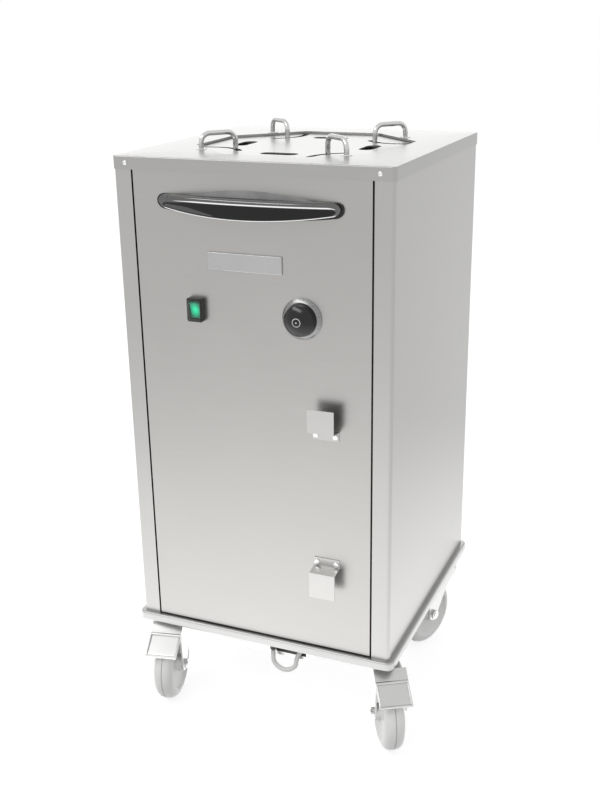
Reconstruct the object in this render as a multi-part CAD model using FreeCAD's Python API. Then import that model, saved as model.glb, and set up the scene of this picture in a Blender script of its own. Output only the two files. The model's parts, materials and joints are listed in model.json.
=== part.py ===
"""Heated plate dispenser cart: a sprung platform in an insulated square shell on four swivel casters.

Millimetres. +Z is up from the floor, and +X is to the right of someone facing the controls at -Y.
The origin is on the floor under the middle of the body.
"""
import FreeCAD
import Part
import math
import os
from FreeCAD import Vector

# ---- body and base ----
BODY_SIZE = 450.0            # plan side of the square shell
BODY_HEIGHT = 765.0          # shell from the base rail to the edge of the cover
CASTER_HEIGHT = 155.0        # floor to the underside of the base rail
RAIL_HEIGHT = 15.5
RAIL_PROUD = 8.0             # base rail beyond the shell on every side
RAIL_WIDTH = 14.0
RAIL_CORNER = 13.0
RAIL_EDGE = 3.0              # rounding of the rail's long outer edges
PAN_SHEET = 2.0
FLOOR_SHEET = 2.0
SHEET = 1.2                  # shell sheet
SHEET_BEND = 6.0
ASSEMBLY_GAP = 0.3           # clearance between pieces that slip together
SIDE_RETURN = 30.0           # side panel's return on the front and back
PANEL_GAP = 3.0              # open joint between side return and front panel
PANEL_LIFT = 6.0             # front panel's edge above the rail
PANEL_FLANGE = 20.0
SEAT_LENGTH = 20.0           # pads that carry the front and back panels
SEAT_SPREAD = 150.0

# ---- cover and opening ----
COVER_FLANGE = 20.0
COVER_SHEET = 1.2
COVER_GAP = 0.2              # flange to shell
COVER_EDGE = 1.6
COLLAR_DEPTH = 12.0
OPENING_INSET = 20.75        # liner's inner faces to the flats of the octagonal opening
COVER_SCREW_INSET = 21.5     # cover screws from the body's sides
COVER_SCREW_HEAD = 3.6
COVER_SCREW_SHANK = 2.0

# ---- liner and insulation ----
LINER_INSET = 40.0           # outside of the shell to the liner's inner faces
LINER_SHEET = 1.0
INSULATION_THICK = 18.0
INSULATION_TOP_GAP = 12.0
POCKET_WIDTH = 290.0         # recess in the insulation behind the controls
POCKET_HEIGHT = 130.0

# ---- platform and lift ----
PLATFORM_GAP = 2.5           # platform edge to the cover's opening
PLATFORM_DROP = 4.0          # platform below the cover's top
PLATFORM_SHEET = 2.0
HOLE_INSET = 52.75           # middle of each warm-air hole from the platform's edge
HOLE_LENGTH = 62.0
HOLE_WIDTH = 24.0
SLOT_GAP = 1.0               # slot edge to guide rod
FRAME_INSET = 14.0           # carriage frame's end to the middle of the lift rod
FRAME_HALF_WIDTH = 46.0
FRAME_BAR = 11.0
FRAME_DEPTH = 22.0
FRAME_SHEET = 2.0
CHEEK_SHEET = 4.0            # carriage cheeks that carry the bushes
CHEEK_HALF_WIDTH = 25.0
CHEEK_LENGTH = 158.0         # platform's underside to the foot of the cheeks
LIFT_ROD_INSET = 11.0        # middle of the lift rod to the liner
LIFT_ROD_RADIUS = 5.0
RUNNING_GAP = 0.08           # radial clearance of a bush on its rod
BUSH_RADIUS = 9.0
BUSH_LENGTH = 24.0
BRACKET_DROP = 13.5          # cover's top to the top of the rod brackets
BRACKET_THICK = 6.0
BRACKET_HALF_WIDTH = 27.0
SPRING_Y = 20.0
SPRING_RADIUS = 4.5
SPRING_BORE = 3.3
LUG_THICK = 3.0
PLATFORM_TRAVEL = 600.0

# ---- plate guides ----
GUIDE_ROD = 4.0              # radius of the guide rod
GUIDE_PIVOT_INSET = 10.54    # pivot leg from the opening's slanting edge
GUIDE_PIVOT_SHIFT = 8.485    # pivot leg from the middle of that edge, towards the front or back
GUIDE_ARM = 58.5             # pivot leg to inner leg
GUIDE_REST_ANGLE = 139.5     # direction of the front right guide's arm
GUIDE_SWING_IN = 20.0
GUIDE_SWING_OUT = 70.0
GUIDE_RISE = 27.5            # top of the guide above the cover
GUIDE_BEND = 14.0
GUIDE_FOOT_GAP = 27.5        # lowest carriage to the guide's lower cross bar
GUIDE_JOIN = 100.0           # where the guide's two bent halves meet above that bar
GUIDE_BUSH_RADIUS = 7.0
GUIDE_BUSH_LIP = 0.8
SOCKET_RADIUS = 9.0
SOCKET_HEIGHT = 18.0
PIVOT_GAP = 0.3

# ---- casters ----
CASTER_INSET_X = 29.0        # swivel axis from the shell's side
CASTER_INSET_Y = 58.0        # swivel axis from the shell's front or back
CASTER_TRAIL = 44.0
CROWN_DROP = 17.0            # underside of the fork's crown below the pan
CROWN_CLEARANCE = 13.0       # tread to the fork's crown
WHEEL_WIDTH = 34.0
WHEEL_SHOULDER = 8.0
WHEEL_DISH = 4.0
TREAD_DEPTH = 16.5           # tread to the dished side's rim
HUB_RADIUS = 15.0
AXLE_RADIUS = 5.0
AXLE_NUT = 8.5
AXLE_NUT_HEIGHT = 6.0
FORK_HALF_GAP = 22.0
FORK_SHEET = 3.0
FORK_NOSE = 24.0             # crown ahead of the swivel axis
FORK_TAIL = 13.0             # crown behind the wheel's axle
FORK_SLANT = 7.0             # slanting back corner of the crown
LEG_END = 12.0               # half width of a leg at the axle
LEG_NECK = 4.0               # front edge of a leg where it leaves the crown
NECK_DROP = 30.0
NOSE_DEPTH = 8.0
TAIL_DEPTH = 20.0
FORK_EDGE = 4.0
CUP_RADIUS = 30.0
CUP_EDGE = 3.0
HEAD_RADIUS = 36.0
HEAD_THICK = 5.0
SWIVEL_GAP = 0.3
KINGPIN_RADIUS = 6.0
KINGPIN_NUT = 10.0
CASTER_HEADINGS = {          # plan direction in which each wheel trails, degrees from +X
    "front_left": -78.0,
    "front_right": -59.0,
    "back_right": -111.7,
    "back_left": -95.0,
}
PEDAL_HALF_WIDTH = 27.3
PEDAL_SHEET = 2.0
PEDAL_PIN = 3.0
PEDAL_PIN_GAP = 0.08
PEDAL_PIVOT_TRAIL = 2.0      # pedal pin behind the wheel's axle, seen along the trail
PEDAL_PIVOT_RISE = 8.0       # pedal pin above the top of the tread
PEDAL_LINE = [               # top of the foot plate, along the trail and up from the pin
    (4.0, 14.5),
    (22.0, -1.0),
    (52.0, -18.8),
    (58.0, -24.3),
]
EAR_LINE = [                 # outline of each ear, along the trail and up from the pin
    (-6.0, -3.0),
    (-6.0, 3.0),
    (4.0, 13.5),
    (22.0, -2.0),
    (5.0, -6.0),
]
SHOE_HALF_WIDTH = 12.0
SHOE_START = 3.0             # shoe behind the pin
SHOE_LENGTH = 15.0
SHOE_DEPTH = 12.0
SHOE_GAP = 0.02              # shoe to tread with the pedal down
BRAKE_TRAVEL = 10.0          # degrees from free to down

# ---- controls ----
CONTROL_DROP = 228.0         # knob and switch centres below the cover's top
KNOB_X = 83.0
DIAL_RADIUS = 32.0
DIAL_RISE = 6.0
DIAL_RIM = 1.0
DIAL_SHOWS = 1.0             # flat top of the dial outside the knob
KNOB_RADIUS = 25.0
KNOB_RISE = 15.0             # front edge of the knob's grip from the panel
KNOB_CROWN = 24.0            # middle of the knob from the panel
KNOB_WAIST = 1.5
SHAFT_RADIUS = 3.0
SHAFT_BITE = 12.0            # shaft's reach into the thermostat
NECK_RADIUS = 6.0
THERMOSTAT_HALF_WIDTH = 25.0
THERMOSTAT_HALF_HEIGHT = 24.0
THERMOSTAT_GAP = 3.8         # back of the thermostat to the liner
SWITCH_X = -92.0
SWITCH_HALF_WIDTH = 13.0
SWITCH_HALF_HEIGHT = 18.5
SWITCH_RISE = 10.0
SWITCH_BODY_HALF_WIDTH = 11.0
SWITCH_BODY_HALF_HEIGHT = 16.0
SWITCH_BODY_DEPTH = 28.0
WELL_HALF_WIDTH = 9.0        # recess that the rocker tilts in
WELL_HALF_HEIGHT = 14.5
WELL_DEPTH = 12.0
ROCKER_HALF_HEIGHT = 12.5
ROCKER_TILT = 10.0
ROCKER_TIP = 5.2             # ends of the rocker's face in front of its pins
ROCKER_WAIST = 3.6           # middle of its face in front of its pins
ROCKER_HEEL = 1.0            # ends of its back behind its pins
ROCKER_BELLY = 4.0           # middle of its back behind its pins
ROCKER_DEPTH = 7.0           # pins behind the housing's front
ROCKER_PIN = 1.2
ROCKER_PIN_BITE = 0.8
SWITCH_COVER_RISE = 4.0
SWITCH_COVER_WALL = 1.0
BADGE_X = -9.0
BADGE_DROP = 150.5
BADGE_HALF_LENGTH = 61.5
BADGE_HALF_HEIGHT = 14.0
BADGE_THICK = 3.0
BADGE_EDGE = 1.0

# ---- handle ----
HANDLE_DROP = 65.5
HANDLE_HALF_LENGTH = 149.0
BEZEL_HALF_HEIGHT = 22.5
BEZEL_END_HEIGHT = 11.0
BEZEL_THICK = 3.0
BAR_TOP = 14.0               # bar's upper edge above the handle's middle
BAR_END_HEIGHT = 20.0
BAR_MIDDLE_HEIGHT = 31.0
BAR_REACH = 32.0             # front of the bar from the panel
BAR_THICK = 10.0
BAR_FOOT = 27.0              # solid length at each end of the bar
BAR_EDGE = 3.0
HANDLE_SCREW_INSET = 13.0
HANDLE_SCREW_RADIUS = 2.5
HANDLE_SCREW_LENGTH = 10.0

# ---- cord brackets ----
CLEAT_INSET = 105.5          # middle of the brackets from the body's right side
CLEAT_WIDTH = 43.0
CLEAT_SHEET = 1.5
CLEAT_FLANGE = 15.0
CLEAT_SHELF = 22.0
CLEAT_SLOPE = 4.0
LOWER_FLAP = 42.0
UPPER_FLAP = 36.0
LOWER_CLEAT_RISE = 158.5     # screw level above the rail
UPPER_CLEAT_RISE = 376.5
CLEAT_SCREW_SPREAD = 16.0
CLEAT_SCREW_HEAD = 4.5
CLEAT_SCREW_SHANK = 2.0

# ---- heating ----
HEATER_RADIUS = 4.0
HEATER_LEVEL = 62.0          # element above the floor plate
HEATER_HALF_WIDTH = 85.0
HEATER_HALF_DEPTH = 90.0
HEATER_TAIL = 15.0
HEATER_BEND = 12.0
HEATER_BRACKET_HALF = 8.0
BULB_DROP = 87.5             # foot of the bulb below the controls
BULB_LENGTH = 60.0
BULB_RADIUS = 3.5
CAPILLARY_RADIUS = 1.0
JUNCTION_HALF_WIDTH = 35.0
JUNCTION_HEIGHT = 74.0
LOOM_RADIUS = 3.0
LOOM_RISE = 120.0            # straight run of each loom above the junction box
LOOM_DROP = 150.0            # straight run of each loom below its control
LOOM_BEND = 60.0
LOOM_SPREAD = 10.0

# ---- mains lead and its tray ----
TRAY_LEFT = -41.0
TRAY_RIGHT = 76.4
TRAY_INSET = 23.0            # tray's front from the rail's inner face
TRAY_LENGTH = 142.0
TRAY_DEPTH = 36.5
TRAY_SHEET = 1.5
SLOT_SILL = 6.0              # foot of the tray's front slot above its floor
SLOT_HEAD = 10.0             # head of that slot below the pan
SLOT_SIDE = 8.0              # end of that slot from the tray's right side
GLAND_X = 13.0
GLAND_INSET = 17.0           # gland from the body's front
GLAND_LENGTH = 8.0
GLAND_RADIUS = 9.0
CORD_RADIUS = 4.0
COIL_X = 17.7
COIL_Y = -137.5
COIL_START_RADIUS = 52.0
COIL_PITCH = 9.6             # turn to turn and layer to layer
COIL_HALF_TURNS = 5          # in each of the two layers
CORD_POINTS = [              # gland to coil; the last point and its height belong to the coil's start
    (13.0, -208.0, 147.0),
    (13.0, -208.0, 129.0),
    (12.5, -208.3, 108.2),
    (33.5, -208.6, 96.3),
    (54.0, -208.0, 108.2),
    (55.0, -207.0, 123.0),
    (58.0, -199.0, 133.0),
    (63.0, -186.0, 135.0),
    (67.5, -172.0, 128.5),
    (69.7, -160.5, 124.3),
    (69.7, -145.5, 124.3),
]
TAIL_POINTS = [              # coil to plug
    (64.9, -129.5, 133.9),
    (64.9, -113.0, 133.9),
    (60.0, -94.0, 133.4),
    (49.0, -79.0, 132.7),
    (35.0, -69.0, 132.3),
    (20.0, -69.0, 132.3),
]
PLUG_LENGTH = 44.0
PLUG_WIDTH = 24.0
PLUG_PIN_LENGTH = 9.0
PLUG_PIN_RADIUS = 2.4
PLUG_PIN_SPREAD = 6.0
PLUG_EDGE = 5.0

# ---- worked out from the sizes above ----
HALF = BODY_SIZE / 2
RAIL_TOP = CASTER_HEIGHT + RAIL_HEIGHT
FLOOR_TOP = RAIL_TOP + FLOOR_SHEET
COVER_TOP = RAIL_TOP + BODY_HEIGHT + COVER_FLANGE
COVER_UNDER = COVER_TOP - COVER_SHEET
RAIL_INNER = HALF + RAIL_PROUD - RAIL_WIDTH
COVER_SCREW_X = HALF - COVER_SCREW_INSET
CLEAT_X = HALF - CLEAT_INSET
LINER_HALF = HALF - LINER_INSET
OPENING_HALF = LINER_HALF - OPENING_INSET
LIFT_ROD_X = LINER_HALF - LIFT_ROD_INSET
FRAME_HALF_LENGTH = LIFT_ROD_X - FRAME_INSET
THERMOSTAT_DEPTH = LINER_INSET - SHEET - LINER_SHEET - THERMOSTAT_GAP
RETURN_EDGE = HALF - SIDE_RETURN
FRONT_FACE = -HALF
PANEL_FLOOR = RAIL_TOP + PANEL_LIFT + SHEET
INSULATION_OUTER = LINER_HALF + LINER_SHEET + INSULATION_THICK
PLATFORM_HALF = OPENING_HALF - PLATFORM_GAP
HOLE_RADIUS = PLATFORM_HALF - HOLE_INSET
GUIDE_PIVOT_X = (OPENING_HALF + GUIDE_PIVOT_INSET - GUIDE_PIVOT_SHIFT) / math.sqrt(2)
GUIDE_PIVOT_Y = (OPENING_HALF + GUIDE_PIVOT_INSET + GUIDE_PIVOT_SHIFT) / math.sqrt(2)
PLATFORM_TOP = COVER_TOP - PLATFORM_DROP
PLATFORM_UNDER = PLATFORM_TOP - PLATFORM_SHEET
ROD_BRACKET_TOP = COVER_TOP - BRACKET_DROP
ROD_BRACKET_UNDER = ROD_BRACKET_TOP - BRACKET_THICK
CHEEK_FOOT = PLATFORM_UNDER - CHEEK_LENGTH
GUIDE_FOOT_BAR = PLATFORM_UNDER - FRAME_DEPTH - PLATFORM_TRAVEL - GUIDE_FOOT_GAP
CONTROL_LEVEL = COVER_TOP - CONTROL_DROP
BULB_LEVEL = CONTROL_LEVEL - BULB_DROP
CASTER_X = HALF - CASTER_INSET_X
CASTER_Y = HALF - CASTER_INSET_Y
FORK_CROWN = CASTER_HEIGHT - CROWN_DROP
WHEEL_RADIUS = (FORK_CROWN - CROWN_CLEARANCE) / 2
WHEEL_RIM = WHEEL_RADIUS - TREAD_DEPTH
HANDLE_LEVEL = COVER_TOP - HANDLE_DROP
HANDLE_SCREW_X = HANDLE_HALF_LENGTH - HANDLE_SCREW_INSET
TRAY_FLOOR = CASTER_HEIGHT - TRAY_DEPTH
TRAY_FRONT = TRAY_INSET - RAIL_INNER
TRAY_BACK = TRAY_FRONT + TRAY_LENGTH
GLAND_Y = GLAND_INSET - HALF
UP = Vector(0, 0, 1)


# ---- shapes used throughout ----
def box(x0, x1, y0, y1, z0, z1):
    """Return the box between two corners."""
    return Part.makeBox(x1 - x0, y1 - y0, z1 - z0, Vector(x0, y0, z0))


def rod(radius, start, end):
    """Return a round bar from one point to another."""
    axis = Vector(*end) - Vector(*start)
    return Part.makeCylinder(radius, axis.Length, Vector(*start), axis)


def polygon(points):
    """Return the flat face inside a closed run of 3-D points."""
    corners = [Vector(*point) for point in points]
    return Part.Face(Part.makePolygon(corners + corners[:1]))


def prism_up(points, z0, z1):
    """Raise a plan outline of (x, y) points from z0 to z1."""
    return polygon([(x, y, z0) for x, y in points]).extrude(Vector(0, 0, z1 - z0))


def prism_across(points, x0, x1):
    """Extrude a side outline of (y, z) points along X."""
    return polygon([(x0, y, z) for y, z in points]).extrude(Vector(x1 - x0, 0, 0))


def prism_deep(points, y0, y1):
    """Extrude a front outline of (x, z) points along Y."""
    return polygon([(x, y0, z) for x, z in points]).extrude(Vector(0, y1 - y0, 0))


def octagon(inradius):
    """Return the plan corners of an octagon whose flats face the four sides."""
    reach = inradius / math.cos(math.pi / 8)
    angles = [math.radians(22.5 + 45 * step) for step in range(8)]
    return [(reach * math.cos(angle), reach * math.sin(angle)) for angle in angles]


def round_along(shape, radius, direction, keep=lambda edge: True):
    """Round the straight edges of a shape that run along a direction and that keep() picks."""
    picked = [
        edge
        for edge in shape.Edges
        if isinstance(edge.Curve, Part.Line)
        and abs(edge.tangentAt(edge.FirstParameter).dot(direction)) > 0.999
        and keep(edge)
    ]
    return shape.makeFillet(radius, picked)


def round_square(half, corner, z0, z1):
    """Return a square block with rounded vertical corners."""
    return round_along(box(-half, half, -half, half, z0, z1), corner, UP)


def offset_strip(points, thickness):
    """Return the outline of a bent strip whose one side follows 2-D points, on their right going along."""
    normals = []
    for (x0, y0), (x1, y1) in zip(points, points[1:]):
        length = math.hypot(x1 - x0, y1 - y0)
        normals.append(((y1 - y0) / length, (x0 - x1) / length))
    far_side = []
    for index, (x, y) in enumerate(points):
        before = normals[max(index - 1, 0)]
        after = normals[min(index, len(normals) - 1)]
        along = (before[0] + after[0], before[1] + after[1])
        scale = thickness / (along[0] * before[0] + along[1] * before[1])
        far_side.append((x + along[0] * scale, y + along[1] * scale))
    return list(points) + far_side[::-1]


def bent_path(points, bend=None):
    """Return a wire of straight runs joined by tangent arcs, and the arcs' radii.

    With no bend given, each arc is as large as its two runs allow.
    """
    corners = [Vector(*point) for point in points]
    edges = []
    radii = []
    start = corners[0]
    for before, corner, after in zip(corners, corners[1:], corners[2:]):
        back = (before - corner).normalize()
        ahead = (after - corner).normalize()
        half_turn = (math.pi - back.getAngle(ahead)) / 2
        shorter = min((before - corner).Length, (after - corner).Length)
        radius = bend or 0.45 * shorter / math.tan(half_turn)
        reach = radius * math.tan(half_turn)
        arc_start = corner + back * reach
        arc_end = corner + ahead * reach
        inward = (back + ahead).normalize()
        middle = corner + inward * (radius / math.cos(half_turn) - radius)
        edges.append(Part.LineSegment(start, arc_start).toShape())
        edges.append(Part.Arc(arc_start, middle, arc_end).toShape())
        radii.append(radius)
        start = arc_end
    edges.append(Part.LineSegment(start, corners[-1]).toShape())
    return Part.Wire(edges), radii


def tube(path, radius):
    """Sweep a round section along a wire."""
    start = path.Edges[0]
    centre = start.valueAt(start.FirstParameter)
    section = Part.Wire(Part.makeCircle(radius, centre, start.tangentAt(start.FirstParameter)))
    return path.makePipeShell([section], True, False)


def fused(shapes):
    """Join shapes into one solid."""
    return shapes[0].multiFuse(shapes[1:]).removeSplitter()


def quarter_turns(shape):
    """Return the shape at each of the four quarter turns about the body's middle."""
    return [shape.rotated(Vector(0, 0, 0), UP, 90 * turn) for turn in range(4)]


def save(name, shape):
    """Write one sub-part to its own file."""
    solids = shape.Solids
    if not shape.isValid() or not solids:
        raise ValueError("the shape of " + name + " is broken")
    keeper = solids[0] if len(solids) == 1 else Part.makeCompound(solids)
    keeper.exportStep("parts/" + name + ".step")


# ---- base ----
def base_rail():
    """Square ring that the shell stands on."""
    outer_half = HALF + RAIL_PROUD
    outer = round_square(outer_half, RAIL_CORNER, CASTER_HEIGHT, RAIL_TOP)
    flat_edges = [
        edge for edge in outer.Edges if abs(edge.Vertexes[0].Z - edge.Vertexes[-1].Z) < 0.001
    ]
    outer = outer.makeFillet(RAIL_EDGE, flat_edges)
    return outer.cut(round_square(RAIL_INNER, RAIL_CORNER / 2, CASTER_HEIGHT, RAIL_TOP))


def base_pan():
    """Shallow pan inside the rail that carries the casters, the gland and the tray."""
    outer = round_square(RAIL_INNER, RAIL_CORNER / 2, CASTER_HEIGHT, RAIL_TOP)
    reach = RAIL_INNER - PAN_SHEET
    inner = box(-reach, reach, -reach, reach, CASTER_HEIGHT + PAN_SHEET, RAIL_TOP)
    pan = outer.cut(inner)
    for x, y in caster_places().values():
        pan = pan.cut(rod(KINGPIN_RADIUS, (x, y, CASTER_HEIGHT), (x, y, RAIL_TOP)))
    thread = rod(GLAND_RADIUS - 3, (GLAND_X, GLAND_Y, CASTER_HEIGHT), (GLAND_X, GLAND_Y, RAIL_TOP))
    return pan.cut(thread)


def floor_plate():
    """Floor of the heated well, with pads that carry the front and back panels."""
    half = HALF - SHEET - ASSEMBLY_GAP
    plate = round_square(half, SHEET_BEND, RAIL_TOP, FLOOR_TOP)
    pads = [
        box(
            x - SEAT_LENGTH / 2,
            x + SEAT_LENGTH / 2,
            min(side * (HALF - SHEET - ASSEMBLY_GAP), side * (HALF - PANEL_FLANGE + 5)),
            max(side * (HALF - SHEET - ASSEMBLY_GAP), side * (HALF - PANEL_FLANGE + 5)),
            RAIL_TOP,
            RAIL_TOP + PANEL_LIFT,
        )
        for x in (-SEAT_SPREAD, SEAT_SPREAD)
        for side in (-1, 1)
    ]
    lead_hole = rod(CORD_RADIUS, (GLAND_X, GLAND_Y, RAIL_TOP), (GLAND_X, GLAND_Y, FLOOR_TOP))
    return fused([plate] + pads).cut(lead_hole)


# ---- casters ----
def caster_places():
    """Return the plan place of each caster's swivel axis."""
    return {
        name: (
            CASTER_X if name.endswith("right") else -CASTER_X,
            -CASTER_Y if name.startswith("front") else CASTER_Y,
        )
        for name in CASTER_HEADINGS
    }


def place_caster_piece(shape, name):
    """Turn a piece drawn about the origin, trailing along +X, to its caster's heading and place."""
    x, y = caster_places()[name]
    return shape.rotated(Vector(0, 0, 0), UP, CASTER_HEADINGS[name]).translated(Vector(x, y, 0))


def caster_mounts():
    """Four bearing discs under the pan, each with its kingpin and nut."""
    discs = []
    for x, y in caster_places().values():
        disc = rod(HEAD_RADIUS, (x, y, CASTER_HEIGHT - HEAD_THICK), (x, y, CASTER_HEIGHT))
        discs.append(disc.cut(rod(KINGPIN_RADIUS, (x, y, 0), (x, y, CASTER_HEIGHT))))
    return Part.makeCompound(discs + kingpins())


def kingpins():
    """Return the kingpins: a round head below each fork and a nut above the pan."""
    head_top = FORK_CROWN - SWIVEL_GAP
    nut_floor = CASTER_HEIGHT + PAN_SHEET
    pins = []
    for x, y in caster_places().values():
        shank = rod(KINGPIN_RADIUS, (x, y, head_top), (x, y, nut_floor + KINGPIN_NUT))
        head = rod(KINGPIN_NUT, (x, y, head_top - HEAD_THICK), (x, y, head_top))
        nut = hexagon_up(x, y, KINGPIN_NUT, nut_floor, nut_floor + KINGPIN_NUT - 2)
        pins.append(fused([shank, head, nut]))
    return pins


def hexagon_up(x, y, reach, z0, z1):
    """Return a six-sided nut standing on z0."""
    angles = [step * math.pi / 3 for step in range(6)]
    corners = [(x + reach * math.cos(angle), y + reach * math.sin(angle)) for angle in angles]
    return prism_up(corners, z0, z1)


def caster_fork():
    """Crown, race cup and two legs, drawn trailing along +X."""
    outer_half = FORK_HALF_GAP + FORK_SHEET
    crown_top = FORK_CROWN + FORK_SHEET
    tail = CASTER_TRAIL + FORK_TAIL
    leg_outline = [
        (-FORK_NOSE, crown_top),
        (tail - FORK_SLANT, crown_top),
        (tail, crown_top - TAIL_DEPTH),
        (CASTER_TRAIL + LEG_END, WHEEL_RADIUS),
        (CASTER_TRAIL - LEG_END, WHEEL_RADIUS),
        (LEG_NECK, crown_top - NECK_DROP),
        (-FORK_NOSE, crown_top - NOSE_DEPTH),
    ]
    leg_end = rod(LEG_END, axle_point(-outer_half), axle_point(outer_half))
    block = fused([prism_deep(leg_outline, -outer_half, outer_half), leg_end])
    block = round_along(
        block, FORK_EDGE, Vector(1, 0, 0), lambda edge: edge.BoundBox.ZMin > crown_top - 0.1
    )
    hollow = box(-FORK_NOSE - 1, tail + 1, -FORK_HALF_GAP, FORK_HALF_GAP, 0, FORK_CROWN)
    fork = block.cut(hollow)
    cup = rod(CUP_RADIUS, (0, 0, crown_top), (0, 0, CASTER_HEIGHT - HEAD_THICK - SWIVEL_GAP))
    cup = cup.makeFillet(CUP_EDGE, [edge for edge in cup.Edges if edge.BoundBox.ZMin > crown_top + 1])
    crown = rod(CUP_RADIUS, (0, 0, FORK_CROWN), (0, 0, crown_top))
    fork = fused([fork, crown, cup])
    fork = fork.cut(rod(KINGPIN_RADIUS + RUNNING_GAP, (0, 0, FORK_CROWN - 1), (0, 0, CASTER_HEIGHT)))
    return fork.cut(rod(AXLE_RADIUS, axle_point(-outer_half), axle_point(outer_half)))


def axle_point(across):
    """Return a point on the wheel's axis, drawn trailing along +X."""
    return CASTER_TRAIL, across, WHEEL_RADIUS


def pedal_pivot():
    """Return the place of the foot brake's pin in the caster's own plane."""
    return CASTER_TRAIL + PEDAL_PIVOT_TRAIL, 2 * WHEEL_RADIUS + PEDAL_PIVOT_RISE


def braked_fork():
    """Fork with the foot brake's pin holes."""
    trail, level = pedal_pivot()
    reach = PEDAL_HALF_WIDTH
    pin_hole = rod(PEDAL_PIN + PEDAL_PIN_GAP, (trail, -reach, level), (trail, reach, level))
    return caster_fork().cut(pin_hole)


def caster_wheel():
    """Solid wheel with rounded shoulders, dished sides and a long hub."""
    half = WHEEL_WIDTH / 2
    tread = rod(WHEEL_RADIUS, axle_point(-half), axle_point(half))
    rims = [edge for edge in tread.Edges if isinstance(edge.Curve, Part.Circle)]
    tread = tread.makeFillet(WHEEL_SHOULDER, rims)
    for side in (-1, 1):
        dish = rod(WHEEL_RIM, axle_point(side * (half - WHEEL_DISH)), axle_point(side * (half + 1)))
        tread = tread.cut(dish)
    hub_half = FORK_HALF_GAP - SWIVEL_GAP
    hub = rod(HUB_RADIUS, axle_point(-hub_half), axle_point(hub_half))
    bore = rod(AXLE_RADIUS + RUNNING_GAP, axle_point(-hub_half), axle_point(hub_half))
    return fused([tread, hub]).cut(bore)


def caster_axle():
    """Axle bolt with a round nut at each end."""
    face = FORK_HALF_GAP + FORK_SHEET
    tip = face + AXLE_NUT_HEIGHT
    shank = rod(AXLE_RADIUS, axle_point(-tip), axle_point(tip))
    nuts = [rod(AXLE_NUT, axle_point(side * face), axle_point(side * (tip - 1))) for side in (-1, 1)]
    return fused([shank] + nuts)


def brake_pedal():
    """Bent foot plate with two ears, its pin and the shoe that meets the tread when it is trodden down."""
    trail, level = pedal_pivot()
    top_line = [(trail + along, level + up) for along, up in PEDAL_LINE]
    plate = prism_deep(offset_strip(top_line, PEDAL_SHEET), -PEDAL_HALF_WIDTH, PEDAL_HALF_WIDTH)
    ear_inner = FORK_HALF_GAP + FORK_SHEET + SWIVEL_GAP
    ear_outline = [(trail + along, level + up) for along, up in EAR_LINE]
    ears = [prism_deep(ear_outline, side * ear_inner, side * PEDAL_HALF_WIDTH) for side in (-1, 1)]
    pin = rod(PEDAL_PIN, (trail, -PEDAL_HALF_WIDTH, level), (trail, PEDAL_HALF_WIDTH, level))
    wide = SHOE_HALF_WIDTH
    tip = trail + SHOE_LENGTH
    arm = box(trail, tip, -wide, wide, level - PEDAL_PIN, level)
    block = box(trail + SHOE_START, tip, -wide, wide, level - SHOE_DEPTH, level)
    tread = rod(WHEEL_RADIUS + SHOE_GAP, axle_point(-wide), axle_point(wide))
    tread_when_down = tread.rotated(Vector(trail, 0, level), Vector(0, 1, 0), -BRAKE_TRAVEL)
    shoe = fused([arm, block]).cut(tread_when_down)
    return fused([plate, pin, shoe] + ears)


# ---- shell ----
def side_panel(side):
    """Side of the shell with its returns round the front and back edges."""
    outer = box(RETURN_EDGE, HALF, -HALF, HALF, RAIL_TOP, COVER_UNDER)
    outer = round_along(outer, SHEET_BEND, UP, lambda edge: edge.BoundBox.XMin > HALF - 1)
    inner = box(RETURN_EDGE - 1, HALF - SHEET, SHEET - HALF, HALF - SHEET, RAIL_TOP, COVER_UNDER)
    inner = round_along(inner, SHEET_BEND - SHEET, UP, lambda edge: edge.BoundBox.XMin > HALF - SHEET - 1)
    panel = outer.cut(inner)
    level = cover_screw_level()
    for x, y in cover_screw_places():
        if x > 0:
            reach = COVER_FLANGE
            panel = panel.cut(rod(COVER_SCREW_SHANK, (x, y - reach, level), (x, y + reach, level)))
    return panel if side > 0 else panel.mirror(Vector(0, 0, 0), Vector(1, 0, 0))


def plain_panel():
    """Front or back panel as a shallow tray of sheet, drawn at the front."""
    half = RETURN_EDGE - PANEL_GAP
    bottom = RAIL_TOP + PANEL_LIFT
    outer = box(-half, half, FRONT_FACE, FRONT_FACE + PANEL_FLANGE, bottom, COVER_UNDER)
    hollow = box(SHEET - half, half - SHEET, FRONT_FACE + SHEET, 0, bottom + SHEET, COVER_TOP)
    return outer.cut(hollow)


def front_panel():
    """Front panel with its holes for the controls, handle and cord brackets."""
    panel = plain_panel()
    back = FRONT_FACE + SHEET
    holes = [
        rod(CORD_RADIUS, (GLAND_X, GLAND_Y, RAIL_TOP), (GLAND_X, GLAND_Y, PANEL_FLOOR)),
        rod(NECK_RADIUS, (KNOB_X, FRONT_FACE, CONTROL_LEVEL), (KNOB_X, back, CONTROL_LEVEL)),
        box(
            SWITCH_X - SWITCH_BODY_HALF_WIDTH,
            SWITCH_X + SWITCH_BODY_HALF_WIDTH,
            FRONT_FACE,
            back,
            CONTROL_LEVEL - SWITCH_BODY_HALF_HEIGHT,
            CONTROL_LEVEL + SWITCH_BODY_HALF_HEIGHT,
        ),
    ]
    for x, z in cleat_screw_places():
        holes.append(rod(CLEAT_SCREW_SHANK, (x, FRONT_FACE, z), (x, back, z)))
    for x in (-HANDLE_SCREW_X, HANDLE_SCREW_X):
        holes.append(rod(HANDLE_SCREW_RADIUS, (x, FRONT_FACE, HANDLE_LEVEL), (x, back, HANDLE_LEVEL)))
    return panel.cut(Part.makeCompound(holes))


def back_panel():
    """Back panel, the plain panel turned round."""
    return plain_panel().rotated(Vector(0, 0, 0), UP, 180)


def cover_screw_level():
    """Return the height of the screws in the cover's flange."""
    return COVER_TOP - COVER_FLANGE / 2


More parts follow.
